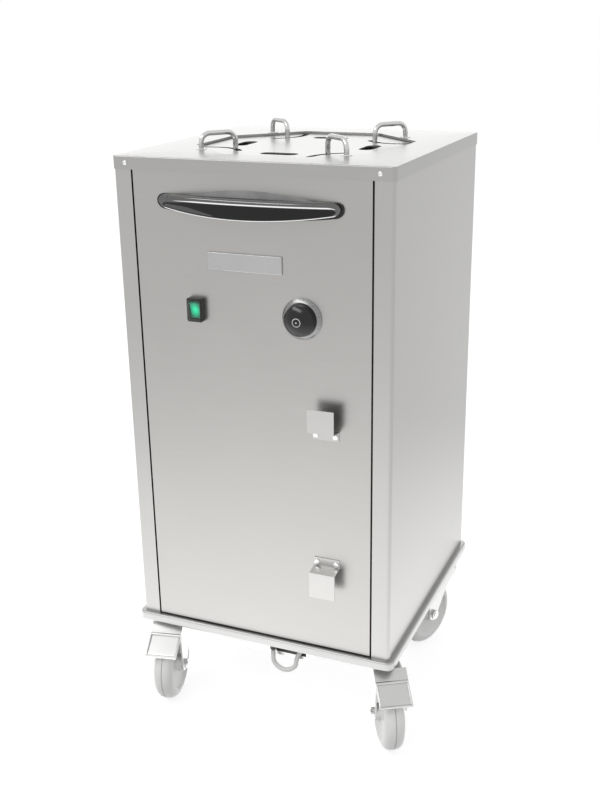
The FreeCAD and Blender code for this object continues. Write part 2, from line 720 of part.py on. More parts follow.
def cover_screw_places():
    """Return the plan place of each cover screw on the flange's outer face."""
    face = HALF + COVER_GAP + COVER_SHEET
    return [(x, side * face) for x in (-COVER_SCREW_X, COVER_SCREW_X) for side in (-1, 1)]


def cover():
    """Top cover with its down-turned flange, octagonal opening and collar."""
    outer_half = HALF + COVER_GAP + COVER_SHEET
    flange_foot = COVER_TOP - COVER_FLANGE
    outer = round_square(outer_half, SHEET_BEND + COVER_SHEET, flange_foot, COVER_TOP)
    top_edges = [edge for edge in outer.Edges if edge.BoundBox.ZMin > COVER_TOP - 0.01]
    outer = outer.makeFillet(COVER_EDGE, top_edges)
    hollow = round_square(outer_half - COVER_SHEET, SHEET_BEND, flange_foot - 1, COVER_UNDER)
    shell = outer.cut(hollow)
    collar = prism_up(octagon(OPENING_HALF + COVER_SHEET), COVER_TOP - COLLAR_DEPTH, COVER_UNDER)
    opening = prism_up(octagon(OPENING_HALF), COVER_TOP - COLLAR_DEPTH, COVER_TOP)
    shell = fused([shell, collar]).cut(opening)
    bushes = quarter_turns(rod(GUIDE_BUSH_RADIUS, guide_pivot(COVER_UNDER), guide_pivot(COVER_TOP)))
    screws = [
        rod(COVER_SCREW_SHANK, (x, y - 5, cover_screw_level()), (x, y + 5, cover_screw_level()))
        for x, y in cover_screw_places()
    ]
    return shell.cut(Part.makeCompound(bushes + screws))


def cover_screws():
    """Four dome-headed screws through the flange."""
    level = cover_screw_level()
    screws = []
    for x, y in cover_screw_places():
        out = math.copysign(1, y)
        shank = rod(COVER_SCREW_SHANK, (x, y - out * 8, level), (x, y, level))
        head = rod(COVER_SCREW_HEAD, (x, y, level), (x, y + out * 2, level))
        rim = [edge for edge in head.Edges if out * edge.BoundBox.Center.y > abs(y) + 1.9]
        screws.append(fused([shank, head.makeFillet(1.5, rim)]))
    return screws


def liner():
    """Square inner tube, with holes for the element's tails and the capillary."""
    outer = LINER_HALF + LINER_SHEET
    tube_wall = box(-outer, outer, -outer, outer, FLOOR_TOP, COVER_UNDER)
    tube_wall = tube_wall.cut(box(-LINER_HALF, LINER_HALF, -LINER_HALF, LINER_HALF, FLOOR_TOP, COVER_UNDER))
    return tube_wall.cut(Part.makeCompound(wall_holes()))


def wall_holes():
    """Return the cutters for what passes through the liner and the insulation at the front."""
    heater_level = FLOOR_TOP + HEATER_LEVEL
    tails = [
        rod(HEATER_RADIUS, (x, -INSULATION_OUTER - 1, heater_level), (x, 1 - LINER_HALF, heater_level))
        for x in (-HEATER_TAIL, HEATER_TAIL)
    ]
    start = (0, -INSULATION_OUTER - 1, CONTROL_LEVEL)
    end = (0, 1 - LINER_HALF, CONTROL_LEVEL)
    return tails + [rod(CAPILLARY_RADIUS, start, end)]


def insulation():
    """Insulating jacket round the liner, with a pocket behind the controls."""
    inner = LINER_HALF + LINER_SHEET
    top = COVER_UNDER - INSULATION_TOP_GAP
    outer = INSULATION_OUTER
    jacket = box(-outer, outer, -outer, outer, FLOOR_TOP, top)
    jacket = jacket.cut(box(-inner, inner, -inner, inner, FLOOR_TOP, top))
    pocket = box(
        -POCKET_WIDTH / 2,
        POCKET_WIDTH / 2,
        -INSULATION_OUTER,
        -inner - ASSEMBLY_GAP,
        CONTROL_LEVEL - POCKET_HEIGHT / 2,
        CONTROL_LEVEL + POCKET_HEIGHT / 2,
    )
    return jacket.cut(pocket).cut(Part.makeCompound(wall_holes()))


# ---- platform and lift ----
def guide_pivot(level):
    """Return the front right guide's pivot at a level."""
    return GUIDE_PIVOT_X, -GUIDE_PIVOT_Y, level


def guide_slot():
    """Return the cutter for the slot that the front right guide's inner leg swings in."""
    margin = GUIDE_ROD + SLOT_GAP
    low = GUIDE_REST_ANGLE - GUIDE_SWING_IN - math.degrees(margin / GUIDE_ARM)
    high = GUIDE_REST_ANGLE + GUIDE_SWING_OUT + math.degrees(2 * margin / GUIDE_ARM)
    centre = Vector(*guide_pivot(PLATFORM_UNDER - 1))
    height = PLATFORM_SHEET + 2
    ring = Part.makeCylinder(GUIDE_ARM + margin, height, centre, UP, high - low)
    ring = ring.cut(Part.makeCylinder(GUIDE_ARM - margin, height, centre, UP, 360))
    return ring.rotated(centre, UP, low)


def platform():
    """Octagonal plate with four warm-air holes and four guide slots."""
    plate = prism_up(octagon(PLATFORM_HALF), PLATFORM_UNDER, PLATFORM_TOP)
    reach = (HOLE_LENGTH - HOLE_WIDTH) / 2
    foot = PLATFORM_UNDER - 1
    top = PLATFORM_TOP + 1
    hole = fused([
        box(-reach, reach, -HOLE_RADIUS - HOLE_WIDTH / 2, -HOLE_RADIUS + HOLE_WIDTH / 2, foot, top),
        rod(HOLE_WIDTH / 2, (-reach, -HOLE_RADIUS, foot), (-reach, -HOLE_RADIUS, top)),
        rod(HOLE_WIDTH / 2, (reach, -HOLE_RADIUS, foot), (reach, -HOLE_RADIUS, top)),
    ])
    return plate.cut(Part.makeCompound(quarter_turns(hole) + quarter_turns(guide_slot())))


def carriage():
    """Hollow frame under the platform with two cheeks that carry the bushes and spring lugs."""
    foot = PLATFORM_UNDER - FRAME_DEPTH
    inner_length = FRAME_HALF_LENGTH - FRAME_BAR
    inner_width = FRAME_HALF_WIDTH - FRAME_BAR
    length = FRAME_HALF_LENGTH
    frame = box(-length, length, -FRAME_HALF_WIDTH, FRAME_HALF_WIDTH, foot, PLATFORM_UNDER)
    channel = box(
        FRAME_SHEET - length,
        length - FRAME_SHEET,
        FRAME_SHEET - FRAME_HALF_WIDTH,
        FRAME_HALF_WIDTH - FRAME_SHEET,
        foot,
        PLATFORM_UNDER - FRAME_SHEET,
    )
    inner_wall_length = inner_length + FRAME_SHEET
    inner_wall_width = inner_width + FRAME_SHEET
    channel = channel.cut(
        box(-inner_wall_length, inner_wall_length, -inner_wall_width, inner_wall_width, foot, PLATFORM_UNDER)
    )
    middle = box(-inner_length, inner_length, -inner_width, inner_width, foot, PLATFORM_UNDER)
    pieces = [frame.cut(channel).cut(middle)]
    for side in (-1, 1):
        inner_face = side * (FRAME_HALF_LENGTH - CHEEK_SHEET)
        outer_face = side * FRAME_HALF_LENGTH
        x0, x1 = sorted((inner_face, outer_face))
        pieces.append(box(x0, x1, -CHEEK_HALF_WIDTH, CHEEK_HALF_WIDTH, CHEEK_FOOT, PLATFORM_UNDER))
        tip = side * (LIFT_ROD_X + SPRING_RADIUS + 1)
        x0, x1 = sorted((inner_face, tip))
        pieces.append(box(x0, x1, -CHEEK_HALF_WIDTH, CHEEK_HALF_WIDTH, CHEEK_FOOT, CHEEK_FOOT + LUG_THICK))
        x0, x1 = sorted((inner_face, side * LIFT_ROD_X))
        for level in bush_levels():
            pieces.append(box(x0, x1, -BUSH_RADIUS, BUSH_RADIUS, level, level + BUSH_LENGTH))
    body = fused(pieces)
    for side in (-1, 1):
        x = side * LIFT_ROD_X
        body = body.cut(rod(BUSH_RADIUS, (x, 0, CHEEK_FOOT - 1), (x, 0, PLATFORM_UNDER)))
    return body


def bush_levels():
    """Return the foot of each bush on a lift rod."""
    return CHEEK_FOOT, ROD_BRACKET_UNDER - ASSEMBLY_GAP - BUSH_LENGTH


def carriage_bushes():
    """Four plastic bushes that run on the lift rods."""
    bushes = []
    for x in (-LIFT_ROD_X, LIFT_ROD_X):
        for level in bush_levels():
            top = level + BUSH_LENGTH
            bore = rod(LIFT_ROD_RADIUS + RUNNING_GAP, (x, 0, level), (x, 0, top))
            bushes.append(rod(BUSH_RADIUS, (x, 0, level), (x, 0, top)).cut(bore))
    return Part.makeCompound(bushes)


def lift_rods():
    """Two upright rods that the carriage slides on."""
    return Part.makeCompound(
        [rod(LIFT_ROD_RADIUS, (x, 0, FLOOR_TOP), (x, 0, ROD_BRACKET_TOP)) for x in (-LIFT_ROD_X, LIFT_ROD_X)]
    )


def rod_brackets():
    """Two brackets on the liner that hold the rods' tops and hang the springs."""
    brackets = []
    for side in (-1, 1):
        x0, x1 = sorted((side * LINER_HALF, side * (LIFT_ROD_X - BUSH_RADIUS)))
        plate = box(x0, x1, -BRACKET_HALF_WIDTH, BRACKET_HALF_WIDTH, ROD_BRACKET_UNDER, ROD_BRACKET_TOP)
        x = side * LIFT_ROD_X
        brackets.append(plate.cut(rod(LIFT_ROD_RADIUS, (x, 0, ROD_BRACKET_UNDER), (x, 0, ROD_BRACKET_TOP))))
    return Part.makeCompound(brackets)


def lift_spring(side, place):
    """One extension spring between a carriage lug and a rod bracket, as its plain outer tube."""
    x = side * LIFT_ROD_X
    y = place * SPRING_Y
    foot = CHEEK_FOOT + LUG_THICK
    outer = rod(SPRING_RADIUS, (x, y, foot), (x, y, ROD_BRACKET_UNDER))
    return outer.cut(rod(SPRING_BORE, (x, y, foot), (x, y, ROD_BRACKET_UNDER)))


# ---- plate guides ----
def plate_guide():
    """Front right guide: a pivot leg, an arch above the cover, an inner leg and a lower cross bar."""
    pivot = Vector(*guide_pivot(0))
    heading = math.radians(GUIDE_REST_ANGLE)
    tip = pivot + Vector(math.cos(heading), math.sin(heading), 0) * GUIDE_ARM
    top = COVER_TOP + GUIDE_RISE - GUIDE_ROD
    middle = GUIDE_FOOT_BAR + GUIDE_JOIN
    foot = FLOOR_TOP + PIVOT_GAP
    arch, _ = bent_path(
        [(pivot.x, pivot.y, foot), (pivot.x, pivot.y, top), (tip.x, tip.y, top), (tip.x, tip.y, middle)],
        GUIDE_BEND,
    )
    hook, _ = bent_path(
        [(tip.x, tip.y, middle), (tip.x, tip.y, GUIDE_FOOT_BAR), (pivot.x, pivot.y, GUIDE_FOOT_BAR)],
        GUIDE_BEND,
    )
    return fused([tube(arch, GUIDE_ROD), tube(hook, GUIDE_ROD)])


def guide_bushes():
    """Four flanged bushes in the cover round the guides' pivot legs."""
    bottom = COVER_TOP - COLLAR_DEPTH
    sleeve = rod(GUIDE_BUSH_RADIUS, guide_pivot(bottom), guide_pivot(COVER_TOP))
    lip = rod(GUIDE_BUSH_RADIUS + 1.5, guide_pivot(COVER_TOP), guide_pivot(COVER_TOP + GUIDE_BUSH_LIP))
    bore = rod(GUIDE_ROD + PIVOT_GAP, guide_pivot(bottom), guide_pivot(COVER_TOP + GUIDE_BUSH_LIP))
    return Part.makeCompound(quarter_turns(fused([sleeve, lip]).cut(bore)))


def guide_sockets():
    """Four cups on the floor plate under the pivot legs."""
    top = FLOOR_TOP + SOCKET_HEIGHT
    outer = rod(SOCKET_RADIUS, guide_pivot(FLOOR_TOP), guide_pivot(top))
    bore = rod(GUIDE_ROD + PIVOT_GAP, guide_pivot(FLOOR_TOP), guide_pivot(top))
    return Part.makeCompound(quarter_turns(outer.cut(bore)))


# ---- heating ----
def heating_element():
    """Tubular element bent in a loop, with both tails at the front."""
    level = FLOOR_TOP + HEATER_LEVEL
    wide = HEATER_HALF_WIDTH
    deep = HEATER_HALF_DEPTH
    end = -INSULATION_OUTER - ASSEMBLY_GAP
    plan = [(-HEATER_TAIL, end), (-HEATER_TAIL, -deep), (-wide, -deep), (-wide, deep),
            (wide, deep), (wide, -deep), (HEATER_TAIL, -deep), (HEATER_TAIL, end)]
    path, _ = bent_path([(x, y, level) for x, y in plan], HEATER_BEND)
    return tube(path, HEATER_RADIUS)


def heater_brackets():
    """Two posts that carry the element's long sides."""
    level = FLOOR_TOP + HEATER_LEVEL
    half = HEATER_BRACKET_HALF
    posts = []
    for x in (-HEATER_HALF_WIDTH, HEATER_HALF_WIDTH):
        post = box(x - half, x + half, -half, half, FLOOR_TOP, level + half)
        posts.append(post.cut(rod(HEATER_RADIUS, (x, -half, level), (x, half, level))))
    return Part.makeCompound(posts)


def sensor():
    """Sensor bulb on the liner and its capillary to the thermostat."""
    y = -LINER_HALF + BULB_RADIUS
    bulb = rod(BULB_RADIUS, (0, y, BULB_LEVEL), (0, y, BULB_LEVEL + BULB_LENGTH))
    body_face = FRONT_FACE + SHEET + THERMOSTAT_DEPTH
    end_y = (body_face - LINER_HALF - LINER_SHEET) / 2 - 3
    path, _ = bent_path(
        [(0, y, BULB_LEVEL + BULB_LENGTH), (0, y, CONTROL_LEVEL), (0, end_y, CONTROL_LEVEL),
         (KNOB_X - THERMOSTAT_HALF_WIDTH, end_y, CONTROL_LEVEL)],
        CAPILLARY_RADIUS * 2,
    )
    return fused([bulb, tube(path, CAPILLARY_RADIUS)])


def junction_box():
    """Box behind the foot of the front panel where the lead, element and wiring meet."""
    return box(
        -JUNCTION_HALF_WIDTH,
        JUNCTION_HALF_WIDTH,
        FRONT_FACE + SHEET + ASSEMBLY_GAP,
        -INSULATION_OUTER - ASSEMBLY_GAP,
        PANEL_FLOOR,
        PANEL_FLOOR + JUNCTION_HEIGHT,
    )


def wiring():
    """Looms from the junction box to the switch and thermostat, and the lead from the gland to the box."""
    y = (FRONT_FACE + SHEET - INSULATION_OUTER) / 2
    start = PANEL_FLOOR + JUNCTION_HEIGHT
    ends = [
        (SWITCH_X, CONTROL_LEVEL - SWITCH_BODY_HALF_HEIGHT),
        (KNOB_X, CONTROL_LEVEL - THERMOSTAT_HALF_HEIGHT),
    ]
    looms = []
    for x, end in ends:
        near = math.copysign(LOOM_SPREAD, x)
        path, _ = bent_path(
            [(near, y, start), (near, y, start + LOOM_RISE), (x, y, end - LOOM_DROP), (x, y, end)],
            LOOM_BEND,
        )
        looms.append(tube(path, LOOM_RADIUS))
    gland_top = CASTER_HEIGHT + GLAND_LENGTH
    lead = rod(CORD_RADIUS, (GLAND_X, GLAND_Y, gland_top), (GLAND_X, GLAND_Y, PANEL_FLOOR))
    return Part.makeCompound(looms + [lead])


# ---- controls ----
def turned(profile, x):
    """Spin a profile of (radius, distance from the panel) about an axis square to the front panel."""
    points = [(x + radius, FRONT_FACE - rise, CONTROL_LEVEL) for radius, rise in profile]
    return polygon(points).revolve(Vector(x, 0, CONTROL_LEVEL), Vector(0, 1, 0), 360)


def thermostat():
    """Thermostat behind the panel, with the neck that comes through it."""
    back = FRONT_FACE + SHEET
    body = box(
        KNOB_X - THERMOSTAT_HALF_WIDTH,
        KNOB_X + THERMOSTAT_HALF_WIDTH,
        back,
        back + THERMOSTAT_DEPTH,
        CONTROL_LEVEL - THERMOSTAT_HALF_HEIGHT,
        CONTROL_LEVEL + THERMOSTAT_HALF_HEIGHT,
    )
    neck = rod(NECK_RADIUS, (KNOB_X, FRONT_FACE, CONTROL_LEVEL), (KNOB_X, back, CONTROL_LEVEL))
    bore = rod(
        SHAFT_RADIUS + RUNNING_GAP,
        (KNOB_X, FRONT_FACE, CONTROL_LEVEL),
        (KNOB_X, back + SHAFT_BITE, CONTROL_LEVEL),
    )
    return fused([body, neck]).cut(bore)


def thermostat_shaft():
    """Shaft from the thermostat into the knob."""
    start = (KNOB_X, FRONT_FACE + SHEET + SHAFT_BITE - ASSEMBLY_GAP, CONTROL_LEVEL)
    end = (KNOB_X, FRONT_FACE - KNOB_RISE, CONTROL_LEVEL)
    return rod(SHAFT_RADIUS, start, end)


def dial_plate():
    """Conical dial on the panel behind the knob."""
    profile = [
        (NECK_RADIUS, 0),
        (DIAL_RADIUS, 0),
        (DIAL_RADIUS, DIAL_RIM),
        (KNOB_RADIUS + DIAL_SHOWS, DIAL_RISE),
        (NECK_RADIUS, DIAL_RISE),
    ]
    return turned(profile, KNOB_X)


def knob():
    """Grip with a slightly waisted side and a domed front."""
    foot = DIAL_RISE + ASSEMBLY_GAP
    front_radius = KNOB_RADIUS - KNOB_WAIST
    crown = KNOB_CROWN - KNOB_RISE
    dome_radius = (front_radius ** 2 + crown ** 2) / (2 * crown)
    grip = turned([(0, foot), (KNOB_RADIUS, foot), (front_radius, KNOB_RISE), (0, KNOB_RISE)], KNOB_X)
    ball = Part.makeSphere(dome_radius, Vector(KNOB_X, FRONT_FACE - KNOB_CROWN + dome_radius, CONTROL_LEVEL))
    front = FRONT_FACE - KNOB_RISE
    reach = rod(front_radius + 1, (KNOB_X, front, CONTROL_LEVEL), (KNOB_X, front - crown, CONTROL_LEVEL))
    socket = rod(SHAFT_RADIUS, (KNOB_X, FRONT_FACE, CONTROL_LEVEL), (KNOB_X, front, CONTROL_LEVEL))
    return fused([grip, ball.common(reach)]).cut(socket)


def rocker_axis():
    """Return the distance of the rocker's pins in front of the panel."""
    return SWITCH_RISE - ROCKER_DEPTH


def switch_body():
    """Switch housing in front of the panel and its block behind, with the rocker's well."""
    face = FRONT_FACE - SWITCH_RISE
    level = CONTROL_LEVEL
    housing = box(
        SWITCH_X - SWITCH_HALF_WIDTH,
        SWITCH_X + SWITCH_HALF_WIDTH,
        face,
        FRONT_FACE,
        level - SWITCH_HALF_HEIGHT,
        level + SWITCH_HALF_HEIGHT,
    )
    housing = round_along(housing, 3.0, Vector(0, 1, 0))
    block = box(
        SWITCH_X - SWITCH_BODY_HALF_WIDTH,
        SWITCH_X + SWITCH_BODY_HALF_WIDTH,
        FRONT_FACE,
        FRONT_FACE + SWITCH_BODY_DEPTH,
        level - SWITCH_BODY_HALF_HEIGHT,
        level + SWITCH_BODY_HALF_HEIGHT,
    )
    well = box(
        SWITCH_X - WELL_HALF_WIDTH,
        SWITCH_X + WELL_HALF_WIDTH,
        face,
        face + WELL_DEPTH,
        level - WELL_HALF_HEIGHT,
        level + WELL_HALF_HEIGHT,
    )
    y = FRONT_FACE - rocker_axis()
    reach = WELL_HALF_WIDTH + 1
    pin_hole = rod(ROCKER_PIN + RUNNING_GAP, (SWITCH_X - reach, y, level), (SWITCH_X + reach, y, level))
    return fused([housing, block]).cut(fused([well, pin_hole]))


def switch_rocker():
    """Two-faced rocker on short pins, tilted to the on side."""
    tall = ROCKER_HALF_HEIGHT
    y = FRONT_FACE - rocker_axis()
    outline = [
        (ROCKER_TIP, -tall),
        (ROCKER_WAIST, 0),
        (ROCKER_TIP, tall),
        (-ROCKER_HEEL, tall),
        (-ROCKER_BELLY, 0),
        (-ROCKER_HEEL, -tall),
    ]
    half = WELL_HALF_WIDTH - ASSEMBLY_GAP
    side_points = [(y - out, CONTROL_LEVEL + up) for out, up in outline]
    key = prism_across(side_points, SWITCH_X - half, SWITCH_X + half)
    reach = WELL_HALF_WIDTH + ROCKER_PIN_BITE
    pins = rod(ROCKER_PIN, (SWITCH_X - reach, y, CONTROL_LEVEL), (SWITCH_X + reach, y, CONTROL_LEVEL))
    return fused([key, pins]).rotated(Vector(SWITCH_X, y, CONTROL_LEVEL), Vector(1, 0, 0), ROCKER_TILT)


def switch_cover():
    """Clear splash cover over the rocker."""
    face = FRONT_FACE - SWITCH_RISE
    wide = SWITCH_HALF_WIDTH - 1
    tall = SWITCH_HALF_HEIGHT - 1
    wall = SWITCH_COVER_WALL
    front = face - SWITCH_COVER_RISE
    outer = box(SWITCH_X - wide, SWITCH_X + wide, front, face, CONTROL_LEVEL - tall, CONTROL_LEVEL + tall)
    outer = round_along(outer, 3.0, Vector(0, 1, 0))
    hollow = box(
        SWITCH_X - wide + wall + 1,
        SWITCH_X + wide - wall - 1,
        front + wall,
        face,
        CONTROL_LEVEL - tall + wall + 1,
        CONTROL_LEVEL + tall - wall - 1,
    )
    return outer.cut(hollow)


def badge_plate():
    """Bare plate above the controls."""
    level = COVER_TOP - BADGE_DROP
    plate = box(
        BADGE_X - BADGE_HALF_LENGTH,
        BADGE_X + BADGE_HALF_LENGTH,
        FRONT_FACE - BADGE_THICK,
        FRONT_FACE,
        level - BADGE_HALF_HEIGHT,
        level + BADGE_HALF_HEIGHT,
    )
    plate = round_along(plate, 2.0, Vector(0, 1, 0))
    front_edges = [edge for edge in plate.Edges if edge.BoundBox.YMax < FRONT_FACE - BADGE_THICK + 0.01]
    return plate.makeChamfer(BADGE_EDGE, front_edges)


# ---- handle ----
def bowed_outline(half_length, upper, lower):
    """Return a front face with arched edges: each edge is (height at the ends, height in the middle)."""
    corners = [
        Vector(-half_length, 0, upper[0]),
        Vector(0, 0, upper[1]),
        Vector(half_length, 0, upper[0]),
        Vector(half_length, 0, lower[0]),
        Vector(0, 0, lower[1]),
        Vector(-half_length, 0, lower[0]),
    ]
    return Part.Face(Part.Wire([
        Part.Arc(corners[0], corners[1], corners[2]).toShape(),
        Part.LineSegment(corners[2], corners[3]).toShape(),
        Part.Arc(corners[3], corners[4], corners[5]).toShape(),
        Part.LineSegment(corners[5], corners[0]).toShape(),
    ]))


def handle_bezel():
    """Lens-shaped plate between the panel and the bar."""
    outline = bowed_outline(
        HANDLE_HALF_LENGTH,
        (BEZEL_END_HEIGHT, BEZEL_HALF_HEIGHT),
        (-BEZEL_END_HEIGHT, -BEZEL_HALF_HEIGHT),
    )
    plate = outline.extrude(Vector(0, -BEZEL_THICK, 0)).translated(Vector(0, FRONT_FACE, HANDLE_LEVEL))
    holes = [
        rod(HANDLE_SCREW_RADIUS, (x, FRONT_FACE, HANDLE_LEVEL), (x, FRONT_FACE - BEZEL_THICK, HANDLE_LEVEL))
        for x in (-HANDLE_SCREW_X, HANDLE_SCREW_X)
    ]
    return plate.cut(Part.makeCompound(holes))


def bow_face(half_length, foot, reach):
    """Return a plan face between a chord and its arc that bows out by reach."""
    start = Vector(-half_length, -foot, 0)
    end = Vector(half_length, -foot, 0)
    return Part.Face(Part.Wire([
        Part.Arc(start, Vector(0, -reach, 0), end).toShape(),
        Part.LineSegment(end, start).toShape(),
    ]))


def handle_bar():
    """Bow bar with solid feet at both ends, deepest in the middle."""
    height = 3 * BAR_MIDDLE_HEIGHT
    bow = bow_face(HANDLE_HALF_LENGTH, BEZEL_THICK, BAR_REACH)
    grip = bow_face(HANDLE_HALF_LENGTH - BAR_FOOT, BEZEL_THICK, BAR_REACH - BAR_THICK)
    plan = bow.cut(grip).extrude(Vector(0, 0, height)).translated(Vector(0, 0, -height / 2))
    front = bowed_outline(
        HANDLE_HALF_LENGTH,
        (BAR_TOP - 2, BAR_TOP),
        (BAR_TOP - BAR_END_HEIGHT, BAR_TOP - BAR_MIDDLE_HEIGHT),
    )
    bar = plan.common(front.extrude(Vector(0, -2 * BAR_REACH, 0)))
    front_edges = [
        edge
        for edge in bar.Edges
        if edge.BoundBox.YMin < -BAR_REACH + 0.5 and edge.BoundBox.XLength > HANDLE_HALF_LENGTH
    ]
    bar = bar.makeFillet(BAR_EDGE, front_edges).translated(Vector(0, FRONT_FACE, HANDLE_LEVEL))
    for x in (-HANDLE_SCREW_X, HANDLE_SCREW_X):
        tip = FRONT_FACE - BEZEL_THICK - handle_screw_bite()
        bar = bar.cut(rod(HANDLE_SCREW_RADIUS, (x, FRONT_FACE, HANDLE_LEVEL), (x, tip, HANDLE_LEVEL)))
    return bar


def handle_screw_bite():
    """Return how far each handle screw reaches into the bar's foot."""
    return min(HANDLE_SCREW_LENGTH - BEZEL_THICK - SHEET, 2.5)


def handle_screws():
    """Two screws from behind the panel into the bar's feet."""
    back = FRONT_FACE + SHEET
    screws = []
    for x in (-HANDLE_SCREW_X, HANDLE_SCREW_X):
        tip = FRONT_FACE - BEZEL_THICK - handle_screw_bite()
        shank = rod(HANDLE_SCREW_RADIUS, (x, back, HANDLE_LEVEL), (x, tip, HANDLE_LEVEL))
        head = rod(2 * HANDLE_SCREW_RADIUS, (x, back, HANDLE_LEVEL), (x, back + 3, HANDLE_LEVEL))
        screws.append(fused([shank, head]))
    return screws


# ---- cord brackets ----
def cleat_screw_places():
    """Return the front-view place of each cord bracket screw."""
    levels = (RAIL_TOP + LOWER_CLEAT_RISE, RAIL_TOP + UPPER_CLEAT_RISE)
    return [(CLEAT_X + side * CLEAT_SCREW_SPREAD, level) for level in levels for side in (-1, 1)]


def cord_cleat(level, flap, up):
    """Bent bracket on the front panel: a flange, a sloping shelf and a flap, pointing up (1) or down (-1)."""
    half = CLEAT_FLANGE / 2
    shelf_end = FRONT_FACE - CLEAT_SHELF
    side_line = [
        (FRONT_FACE, level - up * half),
        (FRONT_FACE, level + up * half),
        (shelf_end, level + up * (half + CLEAT_SLOPE)),
        (shelf_end, level + up * (half + CLEAT_SLOPE + flap)),
    ]
    strip = offset_strip(side_line, -up * CLEAT_SHEET)
    bracket = prism_across(strip, CLEAT_X - CLEAT_WIDTH / 2, CLEAT_X + CLEAT_WIDTH / 2)
    for side in (-1, 1):
        x = CLEAT_X + side * CLEAT_SCREW_SPREAD
        hole = rod(CLEAT_SCREW_SHANK, (x, FRONT_FACE - CLEAT_SHEET, level), (x, FRONT_FACE, level))
        bracket = bracket.cut(hole)
    return bracket


def bracket_screws():
    """Four pan-headed screws of the cord brackets."""
    face = FRONT_FACE - CLEAT_SHEET
    screws = []
    for x, z in cleat_screw_places():
        shank = rod(CLEAT_SCREW_SHANK, (x, face + 11, z), (x, face, z))
        head = rod(CLEAT_SCREW_HEAD, (x, face, z), (x, face - 2.5, z))
        rim = [edge for edge in head.Edges if edge.BoundBox.YMax < face - 2.4]
        screws.append(fused([shank, head.makeFillet(1.5, rim)]))
    return screws


# ---- mains lead ----
def cord_tray():
    """Open-topped sheet tray under the pan, with a slot in its front for the lead."""
    outer = box(TRAY_LEFT, TRAY_RIGHT, TRAY_FRONT, TRAY_BACK, TRAY_FLOOR, CASTER_HEIGHT)
    inner = box(
        TRAY_LEFT + TRAY_SHEET,
        TRAY_RIGHT - TRAY_SHEET,
        TRAY_FRONT + TRAY_SHEET,
        TRAY_BACK - TRAY_SHEET,
        TRAY_FLOOR + TRAY_SHEET,
        CASTER_HEIGHT,
    )
    slot = box(
        GLAND_X,
        TRAY_RIGHT - SLOT_SIDE,
        TRAY_FRONT - 1,
        TRAY_FRONT + TRAY_SHEET + 1,
        TRAY_FLOOR + SLOT_SILL,
        CASTER_HEIGHT - SLOT_HEAD,
    )
    return outer.cut(inner).cut(slot)


def cord_gland():
    """Gland in the pan: a hexagon below, a thread through the pan and a nut above it."""
    top = CASTER_HEIGHT + GLAND_LENGTH
    body = hexagon_up(GLAND_X, GLAND_Y, GLAND_RADIUS, CASTER_HEIGHT - GLAND_LENGTH, CASTER_HEIGHT)
    thread = rod(GLAND_RADIUS - 3, (GLAND_X, GLAND_Y, CASTER_HEIGHT), (GLAND_X, GLAND_Y, top))
    nut = hexagon_up(GLAND_X, GLAND_Y, GLAND_RADIUS, CASTER_HEIGHT + PAN_SHEET, top - 1)
    return fused([body, thread, nut])


def mains_cord():
    """Visible loop of the lead, from the gland into the tray."""
    path, radii = bent_path(CORD_POINTS)
    print("mains_cord radii", [round(radius, 1) for radius in radii])
    return checked_tube("mains_cord", path)


def cord_tail():
    """Last stretch of the lead, from the coil to the plug."""
    path, radii = bent_path(TAIL_POINTS)
    print("cord_tail radii", [round(radius, 1) for radius in radii])
    return checked_tube("cord_tail", path)


def checked_tube(name, path):
    """Sweep the lead along a path and print how its volume compares with section times length."""
    shape = tube(path, CORD_RADIUS)
    ideal = math.pi * CORD_RADIUS ** 2 * path.Length
    print(name, "length", round(path.Length, 1), "volume ratio", round(shape.Volume / ideal, 4))
    return shape


def coil_path():
    """Return the coil's wire: half turns that spiral in, climb a layer where they reverse, and spiral out."""
    level = TRAY_FLOOR + TRAY_SHEET + ASSEMBLY_GAP + CORD_RADIUS
    lead = 2 * CORD_RADIUS
    place = Vector(COIL_X + COIL_START_RADIUS, COIL_Y, level)
    edges = [Part.LineSegment(place - Vector(0, lead, 0), place).toShape()]
    inward = [COIL_START_RADIUS - COIL_PITCH / 4 * (1 + 2 * step) for step in range(COIL_HALF_TURNS)]
    climb = inward[-1] - COIL_PITCH / 4
    radii = inward + [climb] + inward[::-1][:-1]
    side = -1
    for step, radius in enumerate(radii):
        rise = COIL_PITCH if step == COIL_HALF_TURNS else 0
        tilt = math.asin(rise / (2 * radius))
        across = Vector(side * math.cos(tilt), 0, math.sin(tilt))
        centre = place + across * radius
        bulge = centre + Vector(0, -side * radius, 0)
        end = centre + across * radius
        edges.append(Part.Arc(place, bulge, end).toShape())
        place = end
        side = -side
    edges.append(Part.LineSegment(place, place + Vector(0, -side * lead, 0)).toShape())
    return Part.Wire(edges)


def cord_coil():
    """Spare lead coiled in two layers in the tray, as one unbroken tube."""
    path = coil_path()
    points = path.discretize(Distance=3.0)
    skip = 12
    gap = min(
        (points[i] - points[j]).Length
        for i in range(len(points))
        for j in range(i + skip, len(points))
    ) - 2 * CORD_RADIUS
    print("cord_coil least gap to itself", round(gap, 2))
    return checked_tube("cord_coil", path)


def plug():
    """Plug at the end of the lead, with its pins."""
    x, y, z = TAIL_POINTS[-1]
    half = PLUG_WIDTH / 2
    body = box(x - PLUG_LENGTH, x, y - half, y + half, z - half, z + half)
    pieces = [round_along(body, PLUG_EDGE, Vector(1, 0, 0))]
    back = x - PLUG_LENGTH
    for pin_y in (y - PLUG_PIN_SPREAD, y + PLUG_PIN_SPREAD):
        pieces.append(rod(PLUG_PIN_RADIUS, (back - PLUG_PIN_LENGTH, pin_y, z), (back, pin_y, z)))
    return fused(pieces)


